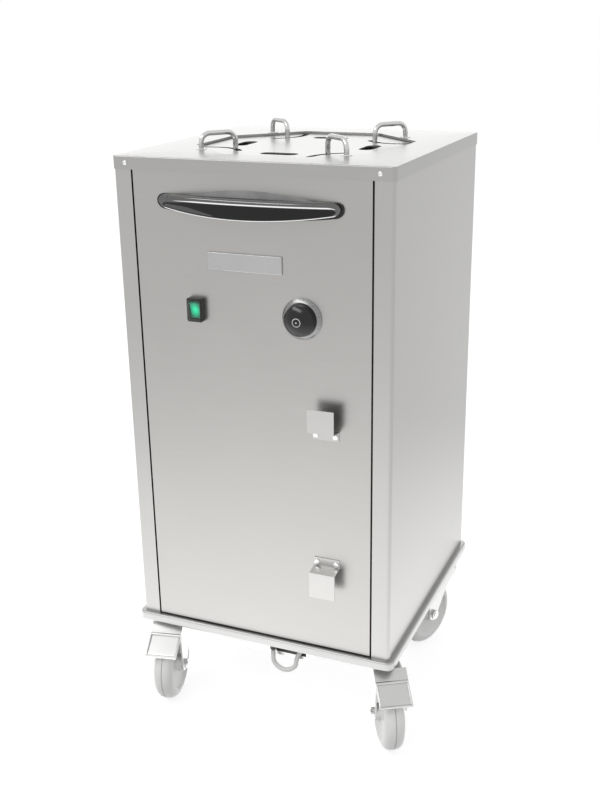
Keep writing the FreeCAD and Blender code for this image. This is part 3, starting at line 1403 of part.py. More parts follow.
def main():
    """Build and save every sub-part."""
    os.makedirs("parts", exist_ok=True)
    save("base_rail", base_rail())
    save("base_pan", base_pan())
    save("floor_plate", floor_plate())
    save("caster_mounts", caster_mounts())
    for name in CASTER_HEADINGS:
        braked = name.startswith("front")
        save("caster_fork_" + name, place_caster_piece(braked_fork() if braked else caster_fork(), name))
        save("caster_wheel_" + name, place_caster_piece(caster_wheel(), name))
        save("caster_axle_" + name, place_caster_piece(caster_axle(), name))
        if braked:
            save("brake_pedal_" + name, place_caster_piece(brake_pedal(), name))
    save("side_panel_left", side_panel(-1))
    save("side_panel_right", side_panel(1))
    save("front_panel", front_panel())
    save("back_panel", back_panel())
    save("cover", cover())
    save("screws", Part.makeCompound(cover_screws() + handle_screws() + bracket_screws()))
    save("liner", liner())
    save("insulation", insulation())
    save("platform", platform())
    save("carriage", carriage())
    save("carriage_bushes", carriage_bushes())
    save("lift_rods", lift_rods())
    save("rod_brackets", rod_brackets())
    springs = [lift_spring(side, place) for side in (-1, 1) for place in (-1, 1)]
    save("lift_springs", Part.makeCompound(springs))
    corner_names = ("front_right", "back_right", "back_left", "front_left")
    for corner, guide in zip(corner_names, quarter_turns(plate_guide())):
        save("plate_guide_" + corner, guide)
    save("guide_bushes", guide_bushes())
    save("guide_sockets", guide_sockets())
    save("heating_element", heating_element())
    save("heater_brackets", heater_brackets())
    save("sensor", sensor())
    save("junction_box", junction_box())
    save("wiring", wiring())
    save("thermostat", thermostat())
    save("dial_plate", dial_plate())
    save("knob", Part.makeCompound([knob(), thermostat_shaft()]))
    save("switch_body", switch_body())
    save("switch_rocker", switch_rocker())
    save("switch_cover", switch_cover())
    save("badge_plate", badge_plate())
    save("handle_bezel", handle_bezel())
    save("handle_bar", handle_bar())
    save("bracket_lower", cord_cleat(RAIL_TOP + LOWER_CLEAT_RISE, LOWER_FLAP, -1))
    save("bracket_upper", cord_cleat(RAIL_TOP + UPPER_CLEAT_RISE, UPPER_FLAP, 1))
    save("cord_tray", cord_tray())
    save("cord_gland", cord_gland())
    save("mains_cord", mains_cord())
    save("cord_coil", cord_coil())
    save("cord_tail", cord_tail())
    save("plug", plug())


main()
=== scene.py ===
"""Visual model of the heated plate dispenser cart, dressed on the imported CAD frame.

Metres. +Z is up from the floor, +X is to the right of someone facing the controls, and the front is at -Y.
"""
from __future__ import annotations

import json
import logging
import math
from abc import ABC, abstractmethod
from collections.abc import Callable, Iterable, Sequence
from dataclasses import dataclass, field
from enum import Enum

import bmesh
import bpy
from mathutils import Matrix, Vector

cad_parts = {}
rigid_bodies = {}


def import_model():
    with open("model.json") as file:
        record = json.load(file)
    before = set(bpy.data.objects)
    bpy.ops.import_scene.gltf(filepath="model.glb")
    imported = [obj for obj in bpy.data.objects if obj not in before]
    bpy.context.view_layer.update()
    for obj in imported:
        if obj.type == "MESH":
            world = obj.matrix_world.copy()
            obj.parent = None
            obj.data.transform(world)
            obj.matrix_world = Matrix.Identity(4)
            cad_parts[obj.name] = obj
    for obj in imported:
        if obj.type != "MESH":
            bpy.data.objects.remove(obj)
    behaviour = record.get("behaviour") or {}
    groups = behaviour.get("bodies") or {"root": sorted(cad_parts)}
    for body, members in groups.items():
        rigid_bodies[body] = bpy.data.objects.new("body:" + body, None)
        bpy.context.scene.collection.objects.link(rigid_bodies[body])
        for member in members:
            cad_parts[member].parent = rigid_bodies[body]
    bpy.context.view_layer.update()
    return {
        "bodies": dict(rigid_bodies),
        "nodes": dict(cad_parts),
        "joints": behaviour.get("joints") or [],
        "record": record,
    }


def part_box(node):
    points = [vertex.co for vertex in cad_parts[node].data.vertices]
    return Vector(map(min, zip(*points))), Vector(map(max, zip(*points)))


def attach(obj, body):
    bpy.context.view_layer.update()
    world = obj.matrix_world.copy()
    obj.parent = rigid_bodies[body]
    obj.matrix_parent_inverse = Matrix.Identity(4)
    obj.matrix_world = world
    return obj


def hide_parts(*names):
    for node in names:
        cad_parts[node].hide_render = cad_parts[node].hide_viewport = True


LOG = logging.getLogger("plate_cart")
Point = tuple[float, float, float]
Colour = tuple[float, float, float]
Outline = Sequence[tuple[float, float]]
BandShape = Callable[[float, float, float], Point]
Piece = bpy.types.Object
Tree = bpy.types.NodeTree
Node = bpy.types.Node
Socket = bpy.types.NodeSocket

WHITE = (1.0, 1.0, 1.0, 1.0)
TONE_RANGE = (0.3, 0.7)  # where the noise of the effects lies, but for its rare peaks
LEAST_ROUGHNESS = 0.02
SHARP_ANGLE = math.radians(32)  # faces of a loft that meet at more than this keep a crisp edge
BEVEL_ANGLE = math.radians(35)
SPLIT_ANGLE = math.radians(30)
FLAT_ANGLE = math.radians(0.5)
WELD_DISTANCE = 1e-5
LEAST_RADIUS = 1e-5

# ---- the mains lead's route, in metres: gland to coil, then coil to plug ----
CORD_POINTS: list[Point] = [
    (0.0130, -0.2080, 0.1470),
    (0.0130, -0.2080, 0.1290),
    (0.0125, -0.2083, 0.1082),
    (0.0335, -0.2086, 0.0963),
    (0.0540, -0.2080, 0.1082),
    (0.0550, -0.2070, 0.1230),
    (0.0580, -0.1990, 0.1330),
    (0.0630, -0.1860, 0.1350),
    (0.0675, -0.1720, 0.1285),
    (0.0697, -0.1605, 0.1243),
    (0.0697, -0.1455, 0.1243),
]
TAIL_POINTS: list[Point] = [
    (0.0649, -0.1295, 0.1339),
    (0.0649, -0.1130, 0.1339),
    (0.0600, -0.0940, 0.1334),
    (0.0490, -0.0790, 0.1327),
    (0.0350, -0.0690, 0.1323),
    (0.0200, -0.0690, 0.1323),
]


# ---- shader node groups shared by the finishes ----
class Effect(Enum):
    """Surface effects that more than one finish uses."""

    GRAIN = "brushed_grain"
    SMUDGE = "soft_smudge"
    # lightens outer edges: partly rubbed edges, partly a painted highlight
    EDGE_WEAR_AND_HIGHLIGHT = "edge_wear"


def add_node(tree: Tree, kind: str, inputs: dict | None = None, **settings: object) -> Node:
    """Add a shader node.

    Args:
        tree: the tree that it goes in.
        kind: its type, without the leading "ShaderNode".
        inputs: a value, or the socket that it comes from, for each input's name or number.
        settings: the node's own settings, such as operation.

    Returns:
        The node.
    """
    node = tree.nodes.new("ShaderNode" + kind)
    for name, setting in settings.items():
        setattr(node, name, setting)
    for label, part in (inputs or {}).items():
        if isinstance(part, Socket):
            tree.links.new(part, node.inputs[label])
        else:
            node.inputs[label].default_value = part
    return node


def calculate(tree: Tree, operation: str, *parts: Socket | float) -> Socket:
    """Return the value of a math node on numbers or on the sockets that they come from."""
    return add_node(tree, "Math", dict(enumerate(parts)), operation=operation).outputs["Value"]


def remap(tree: Tree, value: Socket, start: Sequence[float], end: Sequence[float] = (0.0, 1.0)) -> Socket:
    """Return a value moved from one range to another and held inside it."""
    places = ("From Min", "From Max", "To Min", "To Max")
    return add_node(tree, "MapRange", {"Value": value, **dict(zip(places, (*start, *end)))}).outputs["Result"]


def blend(tree: Tree, share: Socket, first: Socket | Sequence[float], second: Sequence[float]) -> Socket:
    """Return a colour between two, the first of which may come from a socket."""
    start = first if isinstance(first, Socket) else (*first, 1)
    return add_node(tree, "Mix", {0: share, 6: start, 7: (*second, 1)}, data_type="RGBA").outputs[2]


def fade(tree: Tree, coordinates: str, middle: Point, reach: Point) -> Socket:
    """Return a value that falls from 1 at a middle to 0.

    Args:
        tree: the material's node tree.
        coordinates: the texture coordinates that it lies in.
        middle: where it is 1.
        reach: how far away along each axis it is 0; an infinite one leaves its axis out.

    Returns:
        The value.
    """
    place = add_node(tree, "Mapping", {
        "Vector": add_node(tree, "TexCoord").outputs[coordinates],
        "Location": [-part / span for part, span in zip(middle, reach)],
        "Scale": [1 / span for span in reach],
    })
    fall = add_node(tree, "TexGradient", {"Vector": place.outputs["Vector"]}, gradient_type="SPHERICAL")
    return fall.outputs["Fac"]


def new_group(name: str, inputs: Sequence[tuple[str, str, object]], output: str) -> Tree:
    """Make an empty shader node group.

    Args:
        name: the group's name.
        inputs: each input's name, socket type and default value.
        output: the name of its value output.

    Returns:
        The group, with its input and output nodes named "in" and "out".
    """
    group = bpy.data.node_groups.new(name, "ShaderNodeTree")
    for label, kind, default in inputs:
        group.interface.new_socket(name=label, in_out="INPUT", socket_type=kind).default_value = default
    group.interface.new_socket(name=output, in_out="OUTPUT", socket_type="NodeSocketFloat")
    group.nodes.new("NodeGroupInput").name = "in"
    group.nodes.new("NodeGroupOutput").name = "out"
    return group


def grain_group() -> Tree:
    """Make the fine parallel lines of brushed steel: noise drawn out along one direction."""
    group = new_group(
        Effect.GRAIN.value,
        [("Stretch", "NodeSocketVector", (900.0, 900.0, 14.0)), ("Detail", "NodeSocketFloat", 3.0)],
        "Tone",
    )
    given = group.nodes["in"].outputs
    place = add_node(group, "TexCoord").outputs["Object"]
    drawn = add_node(group, "VectorMath", {0: place, 1: given["Stretch"]}, operation="MULTIPLY")
    settings = {"Vector": drawn.outputs["Vector"], "Scale": 1.0, "Detail": given["Detail"], "Roughness": 0.55}
    noise = add_node(group, "TexNoise", settings)
    group.links.new(noise.outputs["Fac"], group.nodes["out"].inputs["Tone"])
    return group


def smudge_group() -> Tree:
    """Make broad soft patches, as handling and rolling leave on metal and plastic."""
    group = new_group(Effect.SMUDGE.value, [("Scale", "NodeSocketFloat", 6.0)], "Tone")
    place = add_node(group, "TexCoord").outputs["Object"]
    scale = group.nodes["in"].outputs["Scale"]
    noise = add_node(group, "TexNoise", {"Vector": place, "Scale": scale, "Detail": 3.0, "Roughness": 0.5})
    group.links.new(noise.outputs["Fac"], group.nodes["out"].inputs["Tone"])
    return group


def wear_and_highlight_group() -> Tree:
    """Make a mask that is high along outer edges, broken up by noise: it stands partly for rubbed edges and
    partly for a painted highlight where light catches them.
    """
    group = new_group(
        Effect.EDGE_WEAR_AND_HIGHLIGHT.value,
        [("Width", "NodeSocketFloat", 0.0015), ("Break Up", "NodeSocketFloat", 120.0)],
        "Mask",
    )
    given = group.nodes["in"].outputs
    rounded = add_node(group, "Bevel", {"Radius": given["Width"]}, samples=4).outputs["Normal"]
    flat = add_node(group, "NewGeometry").outputs["Normal"]
    agree = add_node(group, "VectorMath", {0: rounded, 1: flat}, operation="DOT_PRODUCT")
    edge = remap(group, agree.outputs["Value"], (0.995, 0.80))
    place = add_node(group, "TexCoord").outputs["Object"]
    noise = add_node(group, "TexNoise", {"Vector": place, "Scale": given["Break Up"]})
    broken = remap(group, noise.outputs["Fac"], (0.35, 0.60))
    group.links.new(calculate(group, "MULTIPLY", edge, broken), group.nodes["out"].inputs["Mask"])
    return group


GROUP_MAKERS: dict[Effect, Callable[[], Tree]] = {
    Effect.GRAIN: grain_group,
    Effect.SMUDGE: smudge_group,
    Effect.EDGE_WEAR_AND_HIGHLIGHT: wear_and_highlight_group,
}


def effect(tree: Tree, kind: Effect, **values: object) -> Socket:
    """Place a shared effect in a material.

    Args:
        tree: the material's node tree.
        kind: which effect.
        values: values for the group's inputs.

    Returns:
        The effect's output.
    """
    group = bpy.data.node_groups.get(kind.value) or GROUP_MAKERS[kind]()
    return add_node(tree, "Group", values, node_tree=group).outputs[0]


# ---- finishes ----
@dataclass(frozen=True)
class Finish:
    """A plain finish: one colour with soft smudges.

    Attributes:
        name: the material's name.
        colour: linear base colour.
        roughness: middle of the roughness.
        metallic: 1 for bare metal.
        smudge: how far the smudges move the colour.
        smudge_scale: how many smudges lie along a metre.
        wear_and_highlight: how far outer edges lighten, partly for rubbing and partly as a painted highlight.
        specular: strength of the surface's own gloss.
        roughness_share: how far the smudges move the roughness, as a share of smudge.
    """

    name: str
    colour: Colour
    roughness: float = 0.4
    metallic: float = 0.0
    smudge: float = 0.06
    smudge_scale: float = 9.0
    wear_and_highlight: float = 0.0
    specular: float = 0.5
    roughness_share: float = 0.6

    def material(self) -> bpy.types.Material:
        """Return the finish's material, made once."""
        made = bpy.data.materials.get("finish_" + self.name)
        if made is None:
            made = bpy.data.materials.new("finish_" + self.name)
            made.use_nodes = True
            self.wire(made.node_tree)
        return made

    def wire(self, tree: Tree) -> None:
        """Connect the material's nodes.

        Args:
            tree: the new material's node tree, with its Principled BSDF.
        """
        shader = tree.nodes["Principled BSDF"]
        shader.inputs["Metallic"].default_value = self.metallic
        shader.inputs["Specular IOR Level"].default_value = self.specular
        tone = self.tone(tree, shader)
        self.shade(tree, shader, tone)

    def tone(self, tree: Tree, shader: Node) -> Socket:
        """Return the value, about 0.5, that moves the colour and the roughness over the surface."""
        return effect(tree, Effect.SMUDGE, Scale=self.smudge_scale)

    def shade(self, tree: Tree, shader: Node, tone: Socket) -> None:
        """Turn the tone into base colour and roughness, with outer edges lightened partly for rubbing and
        partly as a painted highlight.

        Args:
            tree: the material's node tree.
            shader: its Principled BSDF.
            tone: the value that changes over the surface.
        """
        dark = [part * (1 - self.smudge) for part in self.colour]
        light = [min(part * (1 + self.smudge), 1) for part in self.colour]
        colour = blend(tree, remap(tree, tone, TONE_RANGE), dark, light)
        # outer edges lightened: partly rubbing, partly a painted highlight of light catching them
        if self.wear_and_highlight:
            worn_and_highlit = [min(part + self.wear_and_highlight, 1) for part in self.colour]
            colour = blend(tree, effect(tree, Effect.EDGE_WEAR_AND_HIGHLIGHT), colour, worn_and_highlit)
        tree.links.new(colour, shader.inputs["Base Color"])
        swing = self.smudge * self.roughness_share
        ends = (max(self.roughness - swing, LEAST_ROUGHNESS), self.roughness + swing)
        tree.links.new(remap(tree, tone, TONE_RANGE, ends), shader.inputs["Roughness"])


@dataclass(frozen=True)
class BrushedSteel(Finish):
    """Bare steel with a grain in one direction.

    Attributes:
        stretch: noise cells per metre along X, Y and Z; the small one is the grain's direction.
        grain: strength of the grain's bump.
        grain_depth: depth of the grain's bump.
        patches: the smudges' share in the tone, beside the grain.
    """

    roughness: float = 0.34
    metallic: float = 1.0
    smudge: float = 0.03
    stretch: Point = (1500.0, 1500.0, 18.0)
    grain: float = 0.06
    grain_depth: float = 0.0004
    patches: float = 0.35

    def tone(self, tree: Tree, shader: Node) -> Socket:
        """Mix the grain with broad smudges, and bump the surface along the grain."""
        lines = effect(tree, Effect.GRAIN, Stretch=self.stretch)
        smudges = effect(tree, Effect.SMUDGE, Scale=self.smudge_scale)
        bump = add_node(tree, "Bump", {"Strength": self.grain, "Distance": self.grain_depth, "Height": lines})
        tree.links.new(bump.outputs["Normal"], shader.inputs["Normal"])
        return add_node(tree, "Mix", {0: self.patches, 2: lines, 3: smudges}).outputs[0]


@dataclass(frozen=True)
class LitPlastic(Finish):
    """Coloured plastic with a lamp behind it.

    Attributes:
        glow: strength of the lamp's light.
        middle: where the light is strongest, as shares of the piece's width, depth and height.
        reach: how far from there it fades to nothing, as such shares.
    """

    glow: float = 0.6
    middle: Point = (0.5, 0.0, 0.525)
    reach: Point = (0.5, math.inf, 0.5)

    def wire(self, tree: Tree) -> None:
        """Connect the plain finish and let it glow in its own colour, most in the middle."""
        super().wire(tree)
        shader = tree.nodes["Principled BSDF"]
        shader.inputs["Emission Color"].default_value = (*self.colour, 1)
        glow = calculate(tree, "MULTIPLY", fade(tree, "Generated", self.middle, self.reach), self.glow)
        tree.links.new(glow, shader.inputs["Emission Strength"])


@dataclass(frozen=True)
class ClearPlastic(Finish):
    """Thin clear moulding.

    Attributes:
        cover: how much of what lies behind it is hidden.
    """

    cover: float = 0.05

    def wire(self, tree: Tree) -> None:
        """Set the constants of a thin clear plastic; it has no smudges."""
        shader = tree.nodes["Principled BSDF"]
        shader.inputs["Base Color"].default_value = (*self.colour, 1)
        shader.inputs["Roughness"].default_value = self.roughness
        shader.inputs["Alpha"].default_value = self.cover
        shader.inputs["Specular IOR Level"].default_value = self.specular


ALONG_X: Point = (18.0, 1500.0, 1500.0)
ALONG_Y: Point = (1500.0, 18.0, 1500.0)
ALONG_Z: Point = (1500.0, 1500.0, 18.0)

PANEL_STEEL = BrushedSteel("panel_steel", (0.405, 0.398, 0.388), stretch=ALONG_X)
SIDE_STEEL = BrushedSteel("side_steel", (0.425, 0.42, 0.412), stretch=ALONG_Y)
COVER_STEEL = BrushedSteel("cover_steel", (0.39, 0.386, 0.38), stretch=ALONG_X)
# the next four finishes lighten their outer edges: partly rubbing, partly a painted highlight
RAIL_STEEL = Finish("rail_steel", (0.44, 0.44, 0.435), 0.33, metallic=0.9, wear_and_highlight=0.15)
INNER_STEEL = BrushedSteel("inner_steel", (0.42, 0.42, 0.415), roughness=0.4, stretch=ALONG_Z)
PLATFORM_STEEL = BrushedSteel("platform_steel", (0.42, 0.417, 0.41), stretch=ALONG_X)
PRESSED_STEEL = Finish("pressed_steel", (0.56, 0.56, 0.555), 0.30, metallic=1.0, smudge=0.05, wear_and_highlight=0.12)
BRACKET_STEEL = Finish("bracket_steel", (0.50, 0.495, 0.485), 0.36, metallic=0.9, smudge=0.04, wear_and_highlight=0.1)
PLATE_STEEL = Finish("plate_steel", (0.44, 0.44, 0.44), 0.28, metallic=0.9, smudge=0.03, wear_and_highlight=0.35)
# near black: painted shadow in the gap under the front panel
GAP_SHADOW_STEEL = Finish("dark_steel", (0.008, 0.008, 0.008), 0.7, specular=0.05)
POLISHED_STEEL = Finish("polished_steel", (0.60, 0.60, 0.595), 0.16, metallic=1.0, smudge=0.03)
SCREW_STEEL = Finish("screw_steel", (0.75, 0.75, 0.75), 0.22, metallic=1.0)
BAR_METAL = Finish("bar_metal", (0.13, 0.13, 0.13), 0.15, metallic=1.0, smudge=0.02)
# near-white metal bands that paint the bar's highlights: the streak over the insert and the line under it
PAINTED_HIGHLIGHT_METAL = Finish("bright_metal", (0.95, 0.95, 0.95), 0.15, metallic=1.0, smudge=0.02)
TYRE_GREY = Finish("tyre_grey", (0.87, 0.87, 0.86), 0.45, smudge=0.03)
# darker grey strip laid in the tread's seam groove: painted shade in the groove
PAINTED_SEAM_SHADE = Finish("seam_grey", (0.50, 0.50, 0.50), 0.6)
INSULATION = Finish("insulation", (0.62, 0.55, 0.40), 0.9, smudge=0.15, smudge_scale=60.0)
BLACK_PLASTIC = Finish("black_plastic", (0.006, 0.006, 0.006), 0.15, smudge=0.03, specular=0.4)
DARK_GRIP = Finish("dark_grip", (0.004, 0.004, 0.004), 0.10, smudge=0.02, specular=0.3)
# paler grey patch that paints a sheen on the dark insert's left end
GRIP_SHEEN = Finish("grip_sheen", (0.085, 0.085, 0.085), 0.25, smudge=0.1, specular=0.4)
# mid grey sheet that paints the shade and reflection in the finger recess over the bar
PAINTED_RECESS_SHADE = Finish("grey_recess", (0.34, 0.34, 0.34), 0.4, smudge=0.2, smudge_scale=30.0, specular=0.3)
DIAL_SILVER = Finish("dial_silver", (0.24, 0.24, 0.24), 0.30, metallic=1.0, smudge=0.05)
LIT_GREEN = LitPlastic("lit_green", (0.0, 0.26, 0.13), 0.3, specular=0.3, glow=3.2)
CLEAR_COVER = ClearPlastic("clear_cover", (0.6, 0.64, 0.62), 0.06, specular=0.5)
WHITE_PLASTIC = Finish("white_plastic", (0.82, 0.82, 0.81), 0.35, smudge=0.02)
CORD_GREY = Finish("cord_grey", (0.80, 0.80, 0.79), 0.4, smudge=0.03)
DARK_MARK = Finish("dark_mark", (0.05, 0.05, 0.05), 0.5, smudge=0.02)


# ---- mesh helpers ----
def dress(obj: Piece, finish: Finish) -> Piece:
    """Give an object one finish all over and return it."""
    obj.data.materials.clear()
    obj.data.materials.append(finish.material())
    if isinstance(obj.data, bpy.types.Mesh):
        for face in obj.data.polygons:
            face.material_index = 0
    return obj


def mesh_piece(name: str, points: Iterable[Sequence[float]], faces: Iterable[Sequence[int]]) -> Piece:
    """Make a smooth mesh object whose origin is the frame's.

    Args:
        name: the piece's name.
        points: corners in the frame.
        faces: corner numbers of each face.

    Returns:
        The new object, linked to the scene.
    """
    mesh = bpy.data.meshes.new(name)
    mesh.from_pydata([tuple(point) for point in points], [], [tuple(face) for face in faces])
    mesh.validate()
    mesh.shade_smooth()
    obj = bpy.data.objects.new(name, mesh)
    bpy.context.scene.collection.objects.link(obj)
    return obj


def loft(name: str, rings: Sequence[Sequence[Sequence[float]]], closed: bool = False) -> Piece:
    """Skin a run of rings that have the same number of points.

    Args:
        name: the piece's name.
        rings: the rings, in order.
        closed: whether the last ring meets the first; otherwise both ends are capped.

    Returns:
        The new object.
    """
    size = len(rings[0])
    points = [point for ring in rings for point in ring]
    spans = len(rings) if closed else len(rings) - 1
    faces = []
    for step in range(spans):
        here = step * size
        there = (step + 1) % len(rings) * size
        for index in range(size):
            after = (index + 1) % size
            faces.append((here + index, here + after, there + after, there + index))
    if not closed:
        faces.append(tuple(range(size))[::-1])
        faces.append(tuple(range(len(points) - size, len(points))))
    piece = mesh_piece(name, points, faces)
    outward(piece)
    piece.data.set_sharp_from_angle(angle=SHARP_ANGLE)
    return piece


def outward(obj: Piece) -> None:
    """Turn a closed mesh's faces outward."""
    shape = bmesh.new()
    shape.from_mesh(obj.data)
    bmesh.ops.recalc_face_normals(shape, faces=shape.faces)
    shape.to_mesh(obj.data)
    shape.free()


def axis_frame(centre: Sequence[float], axis: Sequence[float]) -> Matrix:
    """Return the placement whose Z lies along an axis through a point."""
    turn = Vector(axis).to_track_quat("Z", "Y").to_matrix().to_4x4()
    return Matrix.Translation(Vector(centre)) @ turn


def lathe(name: str, profile: Outline, place: Matrix, steps: int = 64) -> Piece:
    """Turn a profile about an axis.

    Args:
        name: the piece's name.
        profile: (radius, height) points round the section; the ends at radius 0 close the piece.
        place: the placement whose Z is the axis.
        steps: how many sections the turn has.

    Returns:
        The new object.
    """
    rings = []
    for step in range(steps):
        angle = 2 * math.pi * step / steps
        ring = []
        for radius, height in profile:
            out = max(radius, LEAST_RADIUS)
            ring.append(place @ Vector((out * math.cos(angle), out * math.sin(angle), height)))
        rings.append(ring)
    return loft(name, rings, closed=True)


def section_at(x: float, outline: Outline) -> list[Vector]:
    """Return the section at x that has the (y, z) points of an outline."""
    return [Vector((x, y, z)) for y, z in outline]


def edges(obj: Piece, width: float, segments: int = 2) -> Piece:
    """Round an object's sharp edges a little, as real sheet and mouldings are."""
    bevel = obj.modifiers.new("edges", "BEVEL")
    bevel.width = width
    bevel.segments = segments
    bevel.limit_method = "ANGLE"
    bevel.angle_limit = BEVEL_ANGLE
    bevel.harden_normals = True
    return obj


def clean_node(obj: Piece, width: float = 0.0) -> None:
    """Shade a CAD node smoothly, with crisp or slightly rounded edges.

    Args:
        obj: the node.
        width: rounding of its sharp edges, or 0 to keep them crisp.
    """
    obj.data.shade_smooth()
    custom = obj.data.attributes.get("custom_normal")
    if custom is not None:
        obj.data.attributes.remove(custom)
    weld = obj.modifiers.new("weld", "WELD")
    weld.merge_threshold = WELD_DISTANCE
    if width:
        flat = obj.modifiers.new("flat", "DECIMATE")
        flat.decimate_type = "DISSOLVE"
        flat.angle_limit = FLAT_ANGLE
        edges(obj, width)
    else:
        split = obj.modifiers.new("split", "EDGE_SPLIT")
        split.split_angle = SPLIT_ANGLE


def mount(obj: Piece, body: str, slot: str, *nodes: str) -> Piece:
    """Ride a new piece on a body, hide the nodes that it stands for, and return it."""
    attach(obj, body)
    if nodes:
        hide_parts(*nodes)
    LOG.info("%s rides on %s", obj.name, body)
    return obj


# ---- sub-assemblies ----
@dataclass
class SubAssembly(ABC):
    """A group of pieces that are built and dressed together.

    Attributes:
    """

    frame: dict

    @abstractmethod
    def build(self) -> None:
        """Build the group's new meshes."""

    @abstractmethod
    def dress(self) -> None:
        """Give the group's nodes and meshes their finishes."""

    def node(self, name: str) -> Piece:
        """Return a CAD node's object."""
        return self.frame["nodes"][name]

    def joint(self, name: str) -> tuple[Vector, Vector]:
        """Return a joint's place and axis."""
        found = next(joint for joint in self.frame["joints"] if joint["name"] == name)
        return Vector(found["pos_m"]), Vector(found["axis"])

    def finish_nodes(self, finish: Finish, width: float, *names: str) -> None:
        """Dress CAD nodes in one finish with edges of one rounding."""
        for name in names:
            dress(self.node(name), finish)
            clean_node(self.node(name), width)


@dataclass
class Shell(SubAssembly):
    """Side, front and back panels, cover, rail and pan.

    Attributes:
        sheet_edge: rounding of the panels' edges.
    """

    sheet_edge: float = 0.0005

    def build(self) -> None:
        """The shell is all CAD nodes; nothing is added."""

    def dress(self) -> None:
        """Give each panel the grain that its sheet has."""
        self.finish_nodes(SIDE_STEEL, self.sheet_edge, "side_panel_left", "side_panel_right")
        self.finish_nodes(PANEL_STEEL, self.sheet_edge, "front_panel", "back_panel")
        self.finish_nodes(COVER_STEEL, 0.0, "cover")
        self.finish_nodes(RAIL_STEEL, 0.0, "base_rail")
        # the floor plate is near black as painted shadow in the gap under the front panel
        self.finish_nodes(GAP_SHADOW_STEEL, 0.0, "floor_plate")
        self.finish_nodes(PRESSED_STEEL, 0.0, "base_pan")


@dataclass
class InnerWorks(SubAssembly):
    """Liner, insulation, heater, wiring, lift and guides."""

    def build(self) -> None:
        """The inside is all CAD nodes; nothing is added."""

    def dress(self) -> None:
        """Give the inside its finishes."""
        self.finish_nodes(INNER_STEEL, 0.0, "liner", "carriage", "rod_brackets", "heater_brackets")
        self.finish_nodes(PLATFORM_STEEL, 0.0, "platform")
        self.finish_nodes(POLISHED_STEEL, 0.0, "lift_rods", "lift_springs", "heating_element")
        for corner in ("front_right", "back_right", "back_left", "front_left"):
            self.finish_nodes(POLISHED_STEEL, 0.0, "plate_guide_" + corner)
        self.finish_nodes(INSULATION, 0.0, "insulation")
        self.finish_nodes(WHITE_PLASTIC, 0.0, "carriage_bushes", "guide_bushes")
        self.finish_nodes(PRESSED_STEEL, 0.0, "guide_sockets", "junction_box")
        self.finish_nodes(BLACK_PLASTIC, 0.0, "thermostat", "wiring")
        self.finish_nodes(POLISHED_STEEL, 0.0, "sensor")


